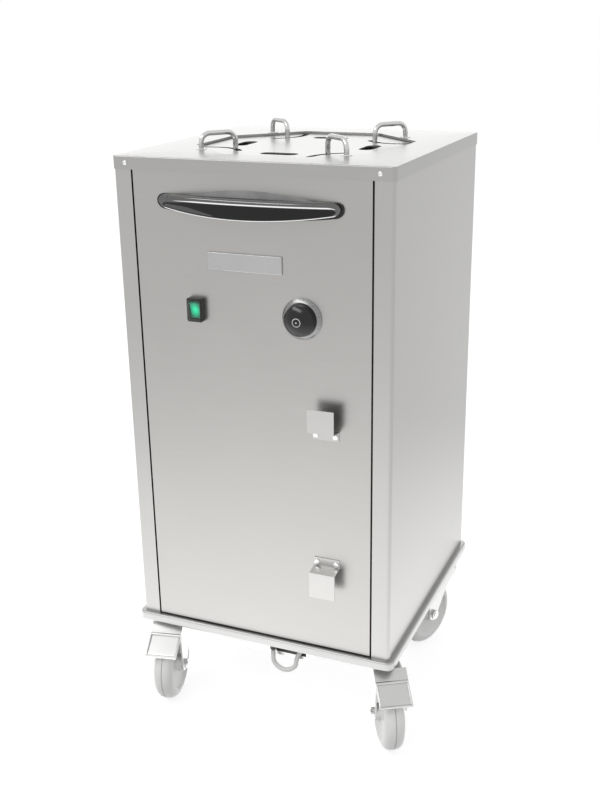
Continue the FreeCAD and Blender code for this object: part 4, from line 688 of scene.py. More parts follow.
@dataclass
class HandleSet(SubAssembly):
    """Bow bar in bright metal with a dark insert, on a black backplate, under a grey sheet that paints the
    shade and reflection in the finger recess.

    Where a band starts and stops is given in shares of half_length. A rise is the share of a band's full
    height at its end, and how much that share grows along the whole band.

    Attributes:
        half_length: from the bar's middle to either end.
        reach: how far its middle stands out from the panel.
        thick: its depth at the middle.
        foot: length of either end that lies on the backplate.
        end_radius: rounding of its ends, seen from the front.
        end_reach: how far its ends stand out from the backplate.
        upper_bow: how far its upper edge rises from the ends to the middle.
        lower_bow: how far its lower edge drops from the ends to the middle.
        least_half: half the height that is left at its very ends.
        steps: sections along it.
        front_corner: rounding of the section's upper front corner.
        back_corner: rounding of its other corners.
        corner_room: a corner is at most the section's lesser side divided by this.
        corner_points: points on each corner.
        proud: how far the bands stand out from the bar.
        sunk: how far they reach into it.
        band_edge: how far their edges slope.
        insert_top: from the bar's upper edge down to the insert.
        insert_foot: from its lower edge up to the insert.
        insert_ends: where the insert starts and stops.
        tip_rise: the insert's rise at either end.
        left_rise: the slower rise of its upper edge from the left.
        band_inset: how far the painted sheen and the painted highlight line under the insert start after it.
        sheen_stop: where the painted sheen stops.
        sheen_inset: how far it stays inside the insert.
        sheen_rise: its rise from the left.
        sheen_fall: the share of its height that it loses towards its stop.
        sheen_lean: how far its upper edge stands further out.
        streak: full height of the painted highlight streak.
        streak_ends: where the streak starts and stops.
        streak_gap: from the insert up to the streak.
        streak_left: its rise from the left.
        streak_right: its rise from the right.
        streak_lean: how far back its upper edge lies.
        rim_drop: from the insert's foot down to the foot of the painted highlight line under it.
        rim_gap: from the insert's foot down to that line's top.
        joint_place: the end cap's joint, from the bar's middle.
        joint_half: half the width of the joint's line.
        joint_proud: how far the line stands out.
        backplate: the backplate's thickness.
        plate_end: how far it reaches past the bar's ends.
        plate_above: how far it reaches over the bar.
        plate_below: how far it reaches under the bar.
        plate_hidden: how far its top stays down, as a share of the bar's reach in front of it.
        plate_edge: its chamfer.
        recess_half: from the recess's middle to either end.
        recess_bow: how far its upper edge rises from the ends to the middle.
        recess_height: its height at the middle.
        recess_thick: how far it stands out.
    """

    half_length: float = 0.1465
    reach: float = 0.032
    thick: float = 0.010
    foot: float = 0.027
    end_radius: float = 0.011
    end_reach: float = 0.003
    upper_bow: float = 0.002
    lower_bow: float = 0.011
    least_half: float = 0.0006
    steps: int = 72
    front_corner: float = 0.0048
    back_corner: float = 0.0025
    corner_room: float = 2.02
    corner_points: int = 7
    proud: float = 0.0003
    sunk: float = 0.001
    band_edge: float = 0.0002
    insert_top: float = 0.0084
    insert_foot: float = 0.0024
    insert_ends: tuple[float, float] = (-0.94, 0.955)
    tip_rise: tuple[float, float] = (0.25, 26.0)
    left_rise: tuple[float, float] = (0.75, 1.5)
    band_inset: float = 0.03
    sheen_stop: float = -0.30
    sheen_inset: float = 0.0012
    sheen_rise: tuple[float, float] = (0.5, 1.0)
    sheen_fall: float = 0.9
    sheen_lean: float = 0.0002
    streak: float = 0.0058
    streak_ends: tuple[float, float] = (-0.80, 0.95)
    streak_gap: float = 0.0003
    streak_left: tuple[float, float] = (0.15, 5.0)
    streak_right: tuple[float, float] = (0.3, 20.0)
    streak_lean: float = 0.0009
    rim_drop: float = 0.0017
    rim_gap: float = 0.0003
    joint_place: float = -0.128
    joint_half: float = 0.0003
    joint_proud: float = 0.00012
    backplate: float = 0.003
    plate_end: float = 0.0035
    plate_above: float = 0.00252
    plate_below: float = 0.00294
    plate_hidden: float = 0.2
    plate_edge: float = 0.0012
    recess_half: float = 0.101
    recess_bow: float = 0.0105
    recess_height: float = 0.0112
    recess_thick: float = 0.0006

    def face(self) -> float:
        """Return the front panel's face."""
        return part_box("handle_bezel")[1].y

    @staticmethod
    def arc(x: float, half: float, end: float, middle: float) -> float:
        """Return the height at x of the circular arc through (-half, end), (0, middle) and (half, end)."""
        rise = middle - end
        radius = (half * half + rise * rise) / (2 * rise)
        return middle - radius + math.sqrt(max(radius * radius - x * x, 0.0))

    def edges_at(self, x: float) -> tuple[float, float]:
        """Return the bar's lower and upper edge at x, drawn together round its ends."""
        low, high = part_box("handle_bar")
        upper = self.arc(x, self.half_length, high.z - self.upper_bow, high.z)
        lower = -self.arc(x, self.half_length, -(low.z + self.lower_bow), -low.z)
        past = (abs(x) - (self.half_length - self.end_radius)) / self.end_radius
        share = math.sqrt(max(1 - past * past, 0.0)) if past > 0 else 1.0
        middle = (upper + lower) / 2
        half = max((upper - lower) / 2 * share, self.least_half)
        return middle - half, middle + half

    def depth_at(self, x: float) -> tuple[float, float]:
        """Return how far the bar's back and front stand out from the panel at x."""
        front = self.arc(x, self.half_length, self.backplate + self.end_reach, self.reach)
        back = self.backplate
        grip = self.half_length - self.foot
        if abs(x) < grip:
            back = self.arc(x, grip, self.backplate, self.reach - self.thick)
        return back, front

    def section(self, x: float) -> list[Vector]:
        """Return the bar's rounded section at x, from the top of its front round to its back."""
        lower, upper = self.edges_at(x)
        back, front = self.depth_at(x)
        limit = min(front - back, upper - lower) / self.corner_room
        big = min(self.front_corner, limit)
        small = min(self.back_corner, limit)
        corners = [(front, upper, -1, -1, big, 90), (front, lower, -1, 1, small, 0),
                   (back, lower, 1, 1, small, -90), (back, upper, 1, -1, small, -180)]
        ring = []
        for out, z, inward, down, radius, start in corners:
            for part in range(self.corner_points):
                angle = math.radians(start - 90 * part / (self.corner_points - 1))
                ring.append(Vector((
                    x,
                    self.face() - (out + inward * radius) - radius * math.cos(angle),
                    z + down * radius + radius * math.sin(angle),
                )))
        return ring

    def shares(self) -> list[float]:
        """Return places from -1 to 1, closer together at both ends."""
        return [math.sin(math.pi / 2 * (2 * step / self.steps - 1)) for step in range(self.steps + 1)]

    def stations(self, start: float = -1.0, end: float = 1.0) -> list[float]:
        """Return places along the bar between two shares of its half length, closer together at the ends."""
        return [self.half_length * (start + (end - start) * (share + 1) / 2) for share in self.shares()]

    def band(self, name: str, finish: Finish, ends: tuple[float, float], heights: BandShape) -> None:
        """Lay a thin band on the bar's front.

        Args:
            name: the band's name.
            finish: its finish.
            ends: where it starts and stops, as shares of the bar's half length.
            heights: gives a place's foot, top and lean back, from how far along the band it is and the
                bar's lower and upper edges there.
        """
        start, stop = ends
        rings = []
        for x in self.stations(start, stop):
            share = (x / self.half_length - start) / (stop - start)
            foot, top, lean = heights(share, *self.edges_at(x))
            out = self.face() - self.depth_at(x)[1]
            middle = (top + foot) / 2
            half = max((top - foot) / 2, self.proud)
            rings.append(section_at(x, (
                (out + self.sunk, middle - half),
                (out - self.proud, middle - half + self.band_edge),
                (out - self.proud + lean, middle + half - self.band_edge),
                (out + self.sunk + lean, middle + half),
            )))
        mount(dress(loft(name, rings), finish), "base", "dark_grip")

    @staticmethod
    def grown(share: float, rise: tuple[float, float]) -> float:
        """Return the share of its full height that a band has, this far from the end that it rises from."""
        return min(1.0, rise[0] + share * rise[1])

    def insert_shape(self, share: float, lower: float, upper: float) -> Point:
        """Return the dark insert's foot, top and lean: full height soon after its left end."""
        foot = lower + self.insert_foot
        tip = min(self.grown(share, self.tip_rise), self.grown(1 - share, self.tip_rise))
        top = foot + (upper - self.insert_top - foot) * self.grown(share, self.left_rise)
        middle = (top + foot) / 2
        half = (top - foot) / 2 * math.sin(math.pi / 2 * tip)
        return middle - half, middle + half, 0.0

    def sheen_shape(self, share: float, lower: float, upper: float) -> Point:
        """Return the foot, top and lean of the painted sheen on the insert's left end, cut on a slant."""
        foot = lower + self.insert_foot + self.sheen_inset
        height = upper - self.insert_top - self.sheen_inset - foot
        top = foot + height * self.grown(share, self.sheen_rise) * (1 - self.sheen_fall * share)
        return foot, top, -self.sheen_lean

    def streak_shape(self, share: float, lower: float, upper: float) -> Point:
        """Return the foot, top and lean of the painted highlight streak over the insert, pointed at its left
        end.
        """
        foot = upper - self.insert_top + self.streak_gap
        grown = min(self.grown(share, self.streak_left), self.grown(1 - share, self.streak_right))
        return foot, foot + self.streak * grown, self.streak_lean

    def rim_shape(self, share: float, lower: float, upper: float) -> Point:
        """Return the foot, top and lean of the thin painted highlight line under the insert."""
        foot = lower + self.insert_foot
        return foot - self.rim_drop, foot - self.rim_gap, 0.0

    def bands(self) -> None:
        """Lay the insert, the painted sheen on its left end, the painted highlight streak over it and the
        painted highlight line under it.
        """
        start, stop = self.insert_ends
        inner = start + self.band_inset
        self.band("handle_insert", DARK_GRIP, self.insert_ends, self.insert_shape)
        # the sheen, streak and rim bands are painted light on the bar
        self.band("handle_sheen", GRIP_SHEEN, (inner, self.sheen_stop), self.sheen_shape)
        self.band("handle_streak", PAINTED_HIGHLIGHT_METAL, self.streak_ends, self.streak_shape)
        self.band("handle_rim", PAINTED_HIGHLIGHT_METAL, (inner, stop), self.rim_shape)

    def plate(self) -> None:
        """Build the black backplate that shows round the bar's ends and under its lower edge."""
        low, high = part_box("handle_bezel")
        face = self.face()
        out = face - self.backplate
        rings = []
        for place in self.stations():
            lower, upper = self.edges_at(place)
            x = place * (self.half_length + self.plate_end) / self.half_length
            hidden = self.depth_at(place)[1] * self.plate_hidden
            lower = max(lower - self.plate_below, low.z)
            upper = min(upper + self.plate_above, high.z) - hidden
            edge = min(self.plate_edge, (upper - lower) / 3)
            rings.append(section_at(x, (
                (face, lower), (out + edge, lower), (out, lower + edge),
                (out, upper - edge), (out + edge, upper), (face, upper),
            )))
        mount(dress(loft("handle_backplate", rings), BLACK_PLASTIC), "base", "black_plastic", "handle_bezel")

    def recess(self) -> None:
        """Build the grey sheet over the bar that paints the shade and reflection in the finger recess; it
        stands out from the panel rather than sinking into it.
        """
        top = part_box("handle_bezel")[1].z
        lower = top - self.recess_height
        face = self.face()
        out = face - self.recess_thick
        rings = []
        for share in self.shares():
            x = self.recess_half * share
            upper = self.arc(x, self.recess_half, top - self.recess_bow, top)
            rings.append(section_at(x, ((face, lower), (out, lower), (out, upper), (face, upper))))
        mount(dress(loft("handle_recess", rings), PAINTED_RECESS_SHADE), "base", "grey_recess")

    def joint_line(self) -> None:
        """Mark the joint of the left end cap with a fine dark line round the bar."""
        rings = []
        for shift in (-self.joint_half, self.joint_half):
            ring = self.section(self.joint_place + shift)
            middle = sum(ring, Vector()) / len(ring)
            rings.append([point + (point - middle).normalized() * self.joint_proud for point in ring])
        mount(dress(loft("handle_joint", rings), DARK_MARK), "base", "black_plastic")

    def build(self) -> None:
        """Build the bar, its insert and end joint, the backplate and the grey sheet of painted recess shade.
        """
        bar = dress(loft("handle_bow", [self.section(x) for x in self.stations()]), BAR_METAL)
        mount(bar, "base", "dark_grip", "handle_bar")
        self.bands()
        self.joint_line()
        self.plate()
        self.recess()

    def dress(self) -> None:
        """The handle's pieces are dressed as they are built."""


@dataclass
class ThermostatKnob(SubAssembly):
    """Domed knob on a silver dial with ticks.

    Attributes:
        dial_radius: the dial's outer radius.
        dial_rise: how far its inner edge stands out from the panel.
        dial_low: how far its outer edge stands out.
        dial_bore: radius of its hole.
        knob_radius: the grip's radius at its foot.
        knob_gap: from the grip to the dial's inner edge.
        knob_clear: from the dial to the grip's foot.
        knob_taper: how much smaller the grip is at its shoulder.
        knob_rise: how far the shoulder stands out from the panel.
        knob_edge: chamfer of the grip's foot.
        crown: how far the middle of its dome stands out.
        dome_points: points on the dome's section.
        marks: how many ticks the dial has.
        first_mark: the first tick's angle in degrees, clockwise from the top.
        long_every: how many ticks there are to one long one.
        long_tick: a long tick's inner radius, and half its width in degrees.
        short_tick: the same of a short tick.
        tick_end: the ticks' outer radius.
        tick_depths: how far the ticks' back and front stand out from the dial.
        ring_radius: middle radius of the ring on the dome.
        ring_half: half the ring's width.
        dot_radius: radius of the dot inside it.
    """

    dial_radius: float = 0.032
    dial_rise: float = 0.006
    dial_low: float = 0.001
    dial_bore: float = 0.006
    knob_radius: float = 0.025
    knob_gap: float = 0.001
    knob_clear: float = 0.0003
    knob_taper: float = 0.0015
    knob_rise: float = 0.015
    knob_edge: float = 0.0006
    crown: float = 0.024
    dome_points: int = 14
    marks: int = 30
    first_mark: float = 6.0
    long_every: int = 3
    long_tick: tuple[float, float] = (0.0283, 0.55)
    short_tick: tuple[float, float] = (0.0292, 0.35)
    tick_end: float = 0.0306
    tick_depths: tuple[float, float] = (-0.0001, 0.00012)
    ring_radius: float = 0.0062
    ring_half: float = 0.00045
    dot_radius: float = 0.0012

    def middle(self) -> Vector:
        """Return the dial's middle, on the panel's face."""
        centre, _ = self.joint("thermostat_knob")
        return Vector((centre.x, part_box("dial_plate")[1].y, centre.z))

    def outward_frame(self) -> Matrix:
        """Return the placement whose Z points straight out of the dial's middle."""
        return axis_frame(self.middle(), (0, -1, 0))

    def dial_point(self, radius: float, degrees: float, proud: float) -> Vector:
        """Return a point on the dial's cone, at an angle clockwise from the top."""
        inner = self.knob_radius + self.knob_gap
        share = (self.dial_radius - radius) / (self.dial_radius - inner)
        rise = self.dial_low + (self.dial_rise - self.dial_low) * share
        angle = math.radians(degrees)
        return self.middle() + Vector((radius * math.sin(angle), -rise - proud, radius * math.cos(angle)))

    def dial(self) -> None:
        """Build the dial's cone with a rolled rim."""
        radius, rise, bore = self.dial_radius, self.dial_rise, self.dial_bore
        inner = self.knob_radius + self.knob_gap
        profile = [
            (bore, 0.0), (radius - 0.0004, 0.0), (radius, 0.0004), (radius - 0.0001, 0.0009),
            (radius - 0.0007, 0.0014), (inner + 0.0006, rise - 0.0002), (inner, rise),
            (inner - 0.001, rise - 0.0002), (bore, rise - 0.0006),
        ]
        cone = lathe("dial_cone", profile, self.outward_frame(), 96)
        mount(dress(cone, DIAL_SILVER), "base", "dial_silver", "dial_plate")

    def ticks(self) -> None:
        """Build the dial's tick marks as thin raised bars."""
        points, faces = [], []
        end = self.tick_end
        for step in range(self.marks):
            degrees = 360 / self.marks * step + self.first_mark
            inner, half = self.short_tick if step % self.long_every else self.long_tick
            base = len(points)
            for proud in self.tick_depths:
                for radius, turn in ((inner, -half), (inner, half), (end, half), (end, -half)):
                    points.append(self.dial_point(radius, degrees + turn, proud))
            for face in ((0, 1, 2, 3), (4, 7, 6, 5), (0, 4, 5, 1), (1, 5, 6, 2), (2, 6, 7, 3), (3, 7, 4, 0)):
                faces.append([base + corner for corner in face])
        piece = mesh_piece("dial_ticks", points, faces)
        outward(piece)
        mount(dress(piece, DARK_MARK), "base", "black_plastic")

    def grip(self) -> None:
        """Build the domed grip and its centre ring and dot."""
        place = self.outward_frame()
        foot, crown = self.dial_rise + self.knob_clear, self.crown
        front = self.knob_radius - self.knob_taper
        rise = crown - self.knob_rise
        dome = (front * front + rise * rise) / (2 * rise)
        profile = [
            (0.0, foot), (self.knob_radius - self.knob_edge, foot), (self.knob_radius, foot + self.knob_edge),
            (front + 0.0002, self.knob_rise - 0.001),
        ]
        for step in range(self.dome_points):
            angle = math.asin(front / dome) * (1 - step / (self.dome_points - 1))
            profile.append((dome * math.sin(angle), crown - dome + dome * math.cos(angle)))
        mount(dress(lathe("knob_grip", profile, place, 96), BLACK_PLASTIC), "knob", "black_plastic", "knob")
        inner, outer = self.ring_radius - self.ring_half, self.ring_radius + self.ring_half
        level = crown - dome + math.sqrt(dome * dome - self.ring_radius * self.ring_radius)
        ring = [
            (inner, level - 0.0003), (outer, level - 0.0004),
            (outer, level + 0.00005), (inner, level + 0.0002),
        ]
        mount(dress(lathe("knob_ring", ring, place, 48), WHITE_PLASTIC), "knob", "white_plastic")
        edge = self.dot_radius
        dot = [(0.0, crown - 0.0006), (edge, crown - 0.0006), (edge, crown + 0.0001), (0.0, crown + 0.00015)]
        mount(dress(lathe("knob_dot", dot, place, 24), WHITE_PLASTIC), "knob", "white_plastic")

    def build(self) -> None:
        """Build the dial, its marks and the grip."""
        self.dial()
        self.ticks()
        self.grip()

    def dress(self) -> None:
        """The knob's pieces are dressed as they are built."""


@dataclass
class RockerSwitch(SubAssembly):
    """Lit rocker in a black housing under a clear cover."""

    def build(self) -> None:
        """The switch is all CAD nodes; nothing is added."""

    def dress(self) -> None:
        """Give the housing, rocker and cover their finishes."""
        self.finish_nodes(BLACK_PLASTIC, 0.0006, "switch_body")
        self.finish_nodes(LIT_GREEN, 0.0004, "switch_rocker")
        self.finish_nodes(CLEAR_COVER, 0.0, "switch_cover")


@dataclass
class Caster(SubAssembly):
    """One caster: tyre, hub, fork, axle, and on the front ones a foot brake.

    Points on the pedal are (along, up) from its pin.

    Attributes:
        place: which corner it stands at.
        radius: the tread's radius.
        width: the tyre's width.
        shoulder: rounding of the tread's edges.
        shoulder_points: points on that rounding.
        rim: radius of the dished sides.
        rim_edge: chamfer of the rim and the hub.
        dish: how deep the sides are dished.
        hub: the hub's radius.
        hub_half: half the hub's length.
        bore: radius of the axle's hole.
        seam: half the width of the tread's moulded seam.
        seam_depth: how deep the seam lies.
        pedal_half: half the pedal's width.
        pedal_ridge: where its ridge lies.
        pedal_foot: where its slope gets steeper.
        pedal_tip: where it ends.
        ridge_rise: how far the ridge's middle lies over the plate.
        lip_shift: how far the lip's middle lies back from the tip and over it.
        edge_rise: how far the side edges' middles lie over the plate.
        edge_inset: how far they lie in from its sides.
        edge_back: how far their ends lie back from the tip.
        bar_radii: radius of the ridge, the lip and the side edges.
        bar_points: points round each of them.
    """

    place: str = "front_left"
    radius: float = 0.0625
    width: float = 0.034
    shoulder: float = 0.014
    shoulder_points: int = 7
    rim: float = 0.046
    rim_edge: float = 0.001
    dish: float = 0.004
    hub: float = 0.015
    hub_half: float = 0.0217
    bore: float = 0.00508
    seam: float = 0.0011
    seam_depth: float = 0.0008
    pedal_half: float = 0.0268
    pedal_ridge: tuple[float, float] = (0.022, -0.001)
    pedal_foot: tuple[float, float] = (0.052, -0.0188)
    pedal_tip: tuple[float, float] = (0.058, -0.0243)
    ridge_rise: float = 0.001
    lip_shift: tuple[float, float] = (0.0022, 0.0014)
    edge_rise: float = 0.0012
    edge_inset: float = 0.0012
    edge_back: float = 0.002
    bar_radii: tuple[float, float, float] = (0.0026, 0.0021, 0.0016)
    bar_points: int = 12

    def wheel_frame(self) -> Matrix:
        """Return the placement whose Z is the wheel's axle."""
        centre, axis = self.joint("roll_" + self.place)
        return axis_frame(centre, axis)

    def tyre(self) -> None:
        """Build the wheel with rounded shoulders, dished sides and a moulded seam round its tread."""
        half, edge = self.width / 2, self.rim_edge
        side = []
        for step in range(self.shoulder_points):
            angle = math.radians(90 * step / (self.shoulder_points - 1))
            side.append((
                self.radius - self.shoulder + self.shoulder * math.cos(angle),
                half - self.shoulder + self.shoulder * math.sin(angle),
            ))
        dished = half - self.dish
        side += [
            (self.rim + edge, half), (self.rim, half - edge), (self.rim - 2 * edge, dished + edge),
            (self.rim - 4 * edge, dished), (self.hub + 2 * edge, dished), (self.hub, dished + 1.5 * edge),
            (self.hub - edge, self.hub_half), (self.bore, self.hub_half),
        ]
        lower = [(radius, -height) for radius, height in side]
        deep = self.radius - self.seam_depth
        floor, line = self.seam * 0.3, self.seam * 0.5
        tread = [(self.radius, -self.seam), (deep, -floor), (deep, floor), (self.radius, self.seam)]
        wheel = lathe("wheel_" + self.place, lower[::-1] + tread + side, self.wheel_frame(), 96)
        dress(wheel, TYRE_GREY)
        mount(edges(wheel, 0.0002, 1), "wheel_" + self.place, "grey_tyre", "caster_wheel_" + self.place)
        # a darker strip in the seam's groove paints the shade that falls there
        inner, outer = deep + 0.0001, deep + 0.0006
        strip = [(inner, -line), (outer, -line), (outer, line), (inner, line)]
        seam = lathe("wheel_seam_" + self.place, strip, self.wheel_frame(), 96)
        mount(dress(seam, PAINTED_SEAM_SHADE), "wheel_" + self.place, "grey_tyre")

    def pedal_bar(self, name: str, run: Sequence[tuple[float, float, float]], radius: float) -> None:
        """Build a round bar on the pedal.

        Args:
            name: which bar it is.
            run: its points, each (across, along, up) from the pedal's pin.
            radius: the bar's radius.
        """
        pin, axis = self.joint("brake_" + self.place)
        low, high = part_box("brake_pedal_" + self.place)
        up = Vector((0, 0, 1))
        along = axis.cross(up).normalized()
        if along.dot((low + high) / 2 - pin) < 0:
            along.negate()
        points = [pin + axis.normalized() * across + along * out + up * rise for across, out, rise in run]
        turns = [2 * math.pi * step / self.bar_points for step in range(self.bar_points)]
        rings = []
        for index, point in enumerate(points):
            ahead = (points[min(index + 1, len(points) - 1)] - points[max(index - 1, 0)]).normalized()
            side = ahead.cross(up).normalized()
            over = side.cross(ahead)
            rings.append([point + radius * (side * math.cos(turn) + over * math.sin(turn)) for turn in turns])
        bar = dress(loft("pedal_" + name + "_" + self.place, rings), PRESSED_STEEL)
        mount(bar, "pedal_" + self.place, "pressed_steel")

    def pedal_trim(self) -> None:
        """Build the pedal's rolled ridge, its lip and its raised side edges."""
        half, ridge, foot, tip = self.pedal_half, self.pedal_ridge, self.pedal_foot, self.pedal_tip
        ridge_radius, lip_radius, edge_radius = self.bar_radii
        lip_back, lip_rise = self.lip_shift
        bars = (("ridge", ridge[0], ridge[1] + self.ridge_rise, ridge_radius),
                ("lip", tip[0] - lip_back, tip[1] + lip_rise, lip_radius))
        for name, out, rise, radius in bars:
            self.pedal_bar(name, [(-half, out, rise), (half, out, rise)], radius)
        line = (ridge, foot, (tip[0] - self.edge_back, tip[1]))
        for name, side in (("left_edge", -1), ("right_edge", 1)):
            across = side * (half - self.edge_inset)
            self.pedal_bar(name, [(across, out, rise + self.edge_rise) for out, rise in line], edge_radius)

    def build(self) -> None:
        """Build the wheel and the pedal's trim; fork, axle and pedal plate are CAD nodes."""
        self.tyre()
        if self.place.startswith("front"):
            self.pedal_trim()

    def dress(self) -> None:
        """Give the fork, axle and pedal their finishes."""
        self.finish_nodes(PRESSED_STEEL, 0.0006, "caster_fork_" + self.place)
        self.finish_nodes(POLISHED_STEEL, 0.0, "caster_axle_" + self.place)
        if self.place.startswith("front"):
            self.finish_nodes(PRESSED_STEEL, 0.0005, "brake_pedal_" + self.place)


@dataclass
class MainsLead(SubAssembly):
    """The lead: a loop from the gland, a coil in the tray and a tail to the plug.

    Attributes:
        radius: half the lead's diameter.
        start_radius: the coil's radius where the spiral starts.
        pitch: from one turn to the next.
        half_turns: how many half turns go in, and as many out again less one.
        points_per_half: points on each half turn.
        relief_outline: the sleeve's (radius, height) points, down from the gland.
    """

    radius: float = 0.004
    start_radius: float = 0.052
    pitch: float = 0.0096
    half_turns: int = 5
    points_per_half: int = 6
    relief_outline: Outline = (
        (0.0043, 0.0), (0.0068, 0.0), (0.0066, 0.002), (0.0058, 0.004), (0.0062, 0.005),
        (0.0052, 0.008), (0.0056, 0.009), (0.0048, 0.012), (0.0043, 0.0128), (0.0041, 0.0128),
    )

    def coil(self) -> list[Point]:
        """Return the coil's points: half turns that spiral in, climb a layer and spiral out."""
        inward = [self.start_radius - self.pitch / 4 * (1 + 2 * step) for step in range(self.half_turns)]
        radii = inward + [inward[-1] - self.pitch / 4] + inward[::-1][:-1]
        place = Vector(CORD_POINTS[-1]) + Vector((0, 2 * self.radius, 0))
        side = -1
        points = [tuple(place)]
        for number, radius in enumerate(radii):
            rise = self.pitch if number == self.half_turns else 0.0
            across = Vector((side * 2 * radius, 0, rise))
            centre = place + across / 2
            for step in range(1, self.points_per_half + 1):
                angle = math.pi * step / self.points_per_half
                along = across / 2 * -math.cos(angle)
                points.append(tuple(centre + along + Vector((0, -side * radius * math.sin(angle), 0))))
            place = place + across
            side = -side
        return points

    def build(self) -> None:
        """Build the lead as one smooth curve, and the strain relief that it leaves the gland through."""
        route = CORD_POINTS + self.coil() + TAIL_POINTS
        curve = bpy.data.curves.new("mains_lead", "CURVE")
        curve.dimensions = "3D"
        curve.bevel_depth = self.radius
        curve.bevel_resolution = 6
        curve.resolution_u = 6
        curve.use_fill_caps = True
        spline = curve.splines.new("NURBS")
        spline.points.add(len(route) - 1)
        for point, place in zip(spline.points, route):
            point.co = (*place, 1.0)
        spline.order_u = 3
        spline.use_endpoint_u = True
        lead = bpy.data.objects.new("mains_lead", curve)
        bpy.context.scene.collection.objects.link(lead)
        dress(lead, CORD_GREY)
        mount(lead, "base", "cord_grey", "mains_cord", "cord_coil", "cord_tail")
        sleeve = lathe("cord_relief", self.relief_outline, axis_frame(CORD_POINTS[0], (0, 0, -1)), 32)
        mount(dress(sleeve, BLACK_PLASTIC), "base", "black_plastic")
        self.node("plug")

    def dress(self) -> None:
        """Give the gland, tray and plug their finishes."""
        self.finish_nodes(WHITE_PLASTIC, 0.0006, "plug")
        self.finish_nodes(BLACK_PLASTIC, 0.0, "cord_gland")
        self.finish_nodes(PRESSED_STEEL, 0.0, "cord_tray")


@dataclass
class Fittings(SubAssembly):
    """Badge plate, cord brackets and screws, and the turned foot of the front panel.

    Attributes:
        lip_drop: how far the foot reaches down under the panel.
        lip_thick: its thickness.
    """

    lip_drop: float = 0.0034
    lip_thick: float = 0.0010

    def build(self) -> None:
        """Build the front panel's foot, which narrows the gap over the rail; the rest is CAD nodes."""
        low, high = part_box("front_panel")
        front, back = low.y, low.y + self.lip_thick
        top, foot = low.z, low.z - self.lip_drop
        outline = ((front, foot), (front, top), (back, top), (back, foot))
        rings = [section_at(x, outline) for x in (low.x, high.x)]
        mount(dress(loft("front_panel_foot", rings), PANEL_STEEL), "base", "body_steel")

    def dress(self) -> None:
        """Give the fittings their finishes."""
        self.finish_nodes(BRACKET_STEEL, 0.0003, "bracket_lower", "bracket_upper")
        self.finish_nodes(SCREW_STEEL, 0.0, "screws")
        self.finish_nodes(PLATE_STEEL, 0.0009, "badge_plate")
        self.finish_nodes(PRESSED_STEEL, 0.0, "caster_mounts")


# ---- camera and studio ----
@dataclass(frozen=True)
class PhotoCamera:
    """The camera at the photograph's viewing angle.

    Attributes:
        place: where it stands.
        turn: its turn about X, Y and Z in degrees.
        lens: focal length in millimetres.
        sensor: sensor width in millimetres.
    """

    place: Point = (0.69166, -1.66476, 1.16318)
    turn: Point = (70.1835, 0.8804, 22.7929)
    lens: float = 65.514
    sensor: float = 36.0

    def build(self) -> None:
        """Make the camera and set it as the scene's."""
        data = bpy.data.cameras.new("photo_camera")
        data.lens = self.lens
        data.sensor_width = self.sensor
        data.sensor_fit = "HORIZONTAL"
        camera = bpy.data.objects.new("photo_camera", data)
        camera.location = self.place
        camera.rotation_euler = [math.radians(part) for part in self.turn]
        bpy.context.scene.collection.objects.link(camera)
        bpy.context.scene.camera = camera


@dataclass(frozen=True)
class SoftBox:
    """A rectangular lamp that faces a point.

    Attributes:
        name: the lamp's name.
        place: where it hangs.
        target: the point that it faces.
        width: its size across.
        height: its size up.
        power: its light in watts.
    """

    name: str
    place: Point
    target: Point
    width: float
    height: float
    power: float

    def build(self) -> None:
        """Hang the lamp."""
        data = bpy.data.lights.new(self.name, "AREA")
        data.shape = "RECTANGLE"
        data.size = self.width
        data.size_y = self.height
        data.energy = self.power
        lamp = bpy.data.objects.new(self.name, data)
        lamp.location = self.place
        lamp.rotation_euler = (Vector(self.target) - Vector(self.place)).to_track_quat("-Z", "Y").to_euler()
        bpy.context.scene.collection.objects.link(lamp)


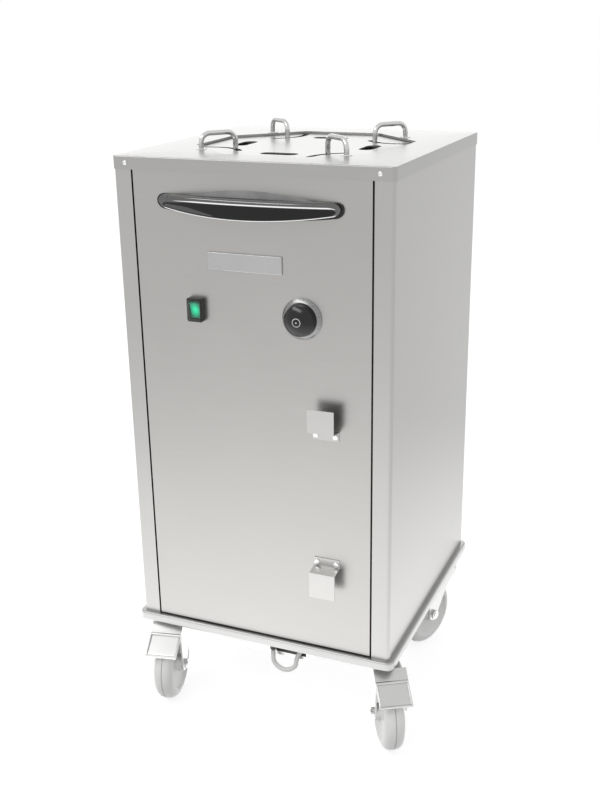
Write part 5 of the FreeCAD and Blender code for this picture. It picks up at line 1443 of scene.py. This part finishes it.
@dataclass
class Studio:
    """Plain pale floor, white surroundings and soft lamps.

    Attributes:
        floor_half: half the floor's side.
        floor_grey: the floor's own colour.
        floor_roughness: its roughness.
        floor_level: its white to the camera, and to metal far from the object.
        shine: how much brighter than that metal sees it at shine_centre.
        shine_reach: how far from there that fades to nothing.
        shine_centre: the middle of the brighter part.
        fill: the surroundings' light on anything but metal and clear plastic.
        lamps: the soft lamps.
    """

    floor_half: float = 8.0
    floor_grey: float = 0.36
    floor_roughness: float = 0.9
    floor_level: float = 0.78
    shine: float = 1.15
    shine_reach: float = 1.7
    shine_centre: Point = (-0.15, -0.25, 0.0)
    fill: float = 0.75
    lamps: list[SoftBox] = field(default_factory=lambda: [
        SoftBox("key", (-1.1, -1.9, 2.7), (0.0, -0.2, 0.8), 2.6, 0.6, 26.0),
        SoftBox("behind", (-1.5, 3.4, 1.5), (0.0, 0.0, 0.95), 2.6, 1.3, 12.5),
    ])

    def floor_shine(self, tree: Tree) -> Socket:
        """Return how bright metal sees the floor: most near the object."""
        near = fade(tree, "Object", self.shine_centre, [self.shine_reach] * 3)
        return calculate(tree, "MULTIPLY_ADD", near, self.shine, self.floor_level)

    @staticmethod
    def mirrored(tree: Tree, rays: Sequence[Socket]) -> Socket:
        """Return 1 for rays that come by way of metal or clear plastic, from a Light Path node's outputs."""
        return calculate(tree, "MAXIMUM", rays["Is Glossy Ray"], rays["Is Transmission Ray"])

    def floor(self) -> None:
        """Lay the floor, white to the camera with the object's shadow on it."""
        half = self.floor_half
        corners = [(-half, -half, 0), (half, -half, 0), (half, half, 0), (-half, half, 0)]
        floor = mesh_piece("floor", corners, [(0, 1, 2, 3)])
        material = bpy.data.materials.new("floor_white")
        material.use_nodes = True
        tree = material.node_tree
        shader = tree.nodes["Principled BSDF"]
        shader.inputs["Base Color"].default_value = (*[self.floor_grey] * 3, 1)
        shader.inputs["Roughness"].default_value = self.floor_roughness
        shader.inputs["Specular IOR Level"].default_value = 0.0
        shader.inputs["Emission Color"].default_value = WHITE
        rays = add_node(tree, "LightPath").outputs
        direct = calculate(tree, "MULTIPLY", rays["Is Camera Ray"], self.floor_level)
        level = calculate(tree, "MULTIPLY_ADD", self.mirrored(tree, rays), self.floor_shine(tree), direct)
        tree.links.new(level, shader.inputs["Emission Strength"])
        floor.data.materials.append(material)

    def surroundings(self) -> None:
        """Make the world white to the camera, to metal and to clear plastic, and a plain fill elsewhere."""
        world = bpy.data.worlds.new("studio_white")
        world.use_nodes = True
        bpy.context.scene.world = world
        tree = world.node_tree
        tree.nodes.clear()
        rays = add_node(tree, "LightPath").outputs
        seen = calculate(tree, "MAXIMUM", rays["Is Camera Ray"], self.mirrored(tree, rays))
        fill = add_node(tree, "Background", {"Color": WHITE, "Strength": self.fill})
        white = add_node(tree, "Background", {"Color": WHITE, "Strength": 1.0})
        shaders = {0: seen, 1: fill.outputs["Background"], 2: white.outputs["Background"]}
        add_node(tree, "OutputWorld", {"Surface": add_node(tree, "MixShader", shaders).outputs["Shader"]})

    def build(self) -> None:
        """Build the floor, the surroundings and the lamps."""
        self.floor()
        self.surroundings()
        for lamp in self.lamps:
            lamp.build()
        bpy.context.scene.view_settings.view_transform = "Standard"


def main() -> None:
    """Load the frame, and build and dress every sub-assembly."""
    logging.basicConfig(level=logging.INFO, format="%(message)s")
    for leftover in list(bpy.data.objects):
        bpy.data.objects.remove(leftover)
    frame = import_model()
    kinds = (Shell, InnerWorks, HandleSet, ThermostatKnob, RockerSwitch, MainsLead, Fittings)
    groups: list[SubAssembly] = [kind(frame) for kind in kinds]
    groups += [Caster(frame, corner) for corner in ("front_left", "front_right", "back_right", "back_left")]
    for group in groups:
        group.build()
        group.dress()
        LOG.info("built %s", type(group).__name__)
    Studio().build()
    PhotoCamera().build()


if __name__ == "__main__":
    main()
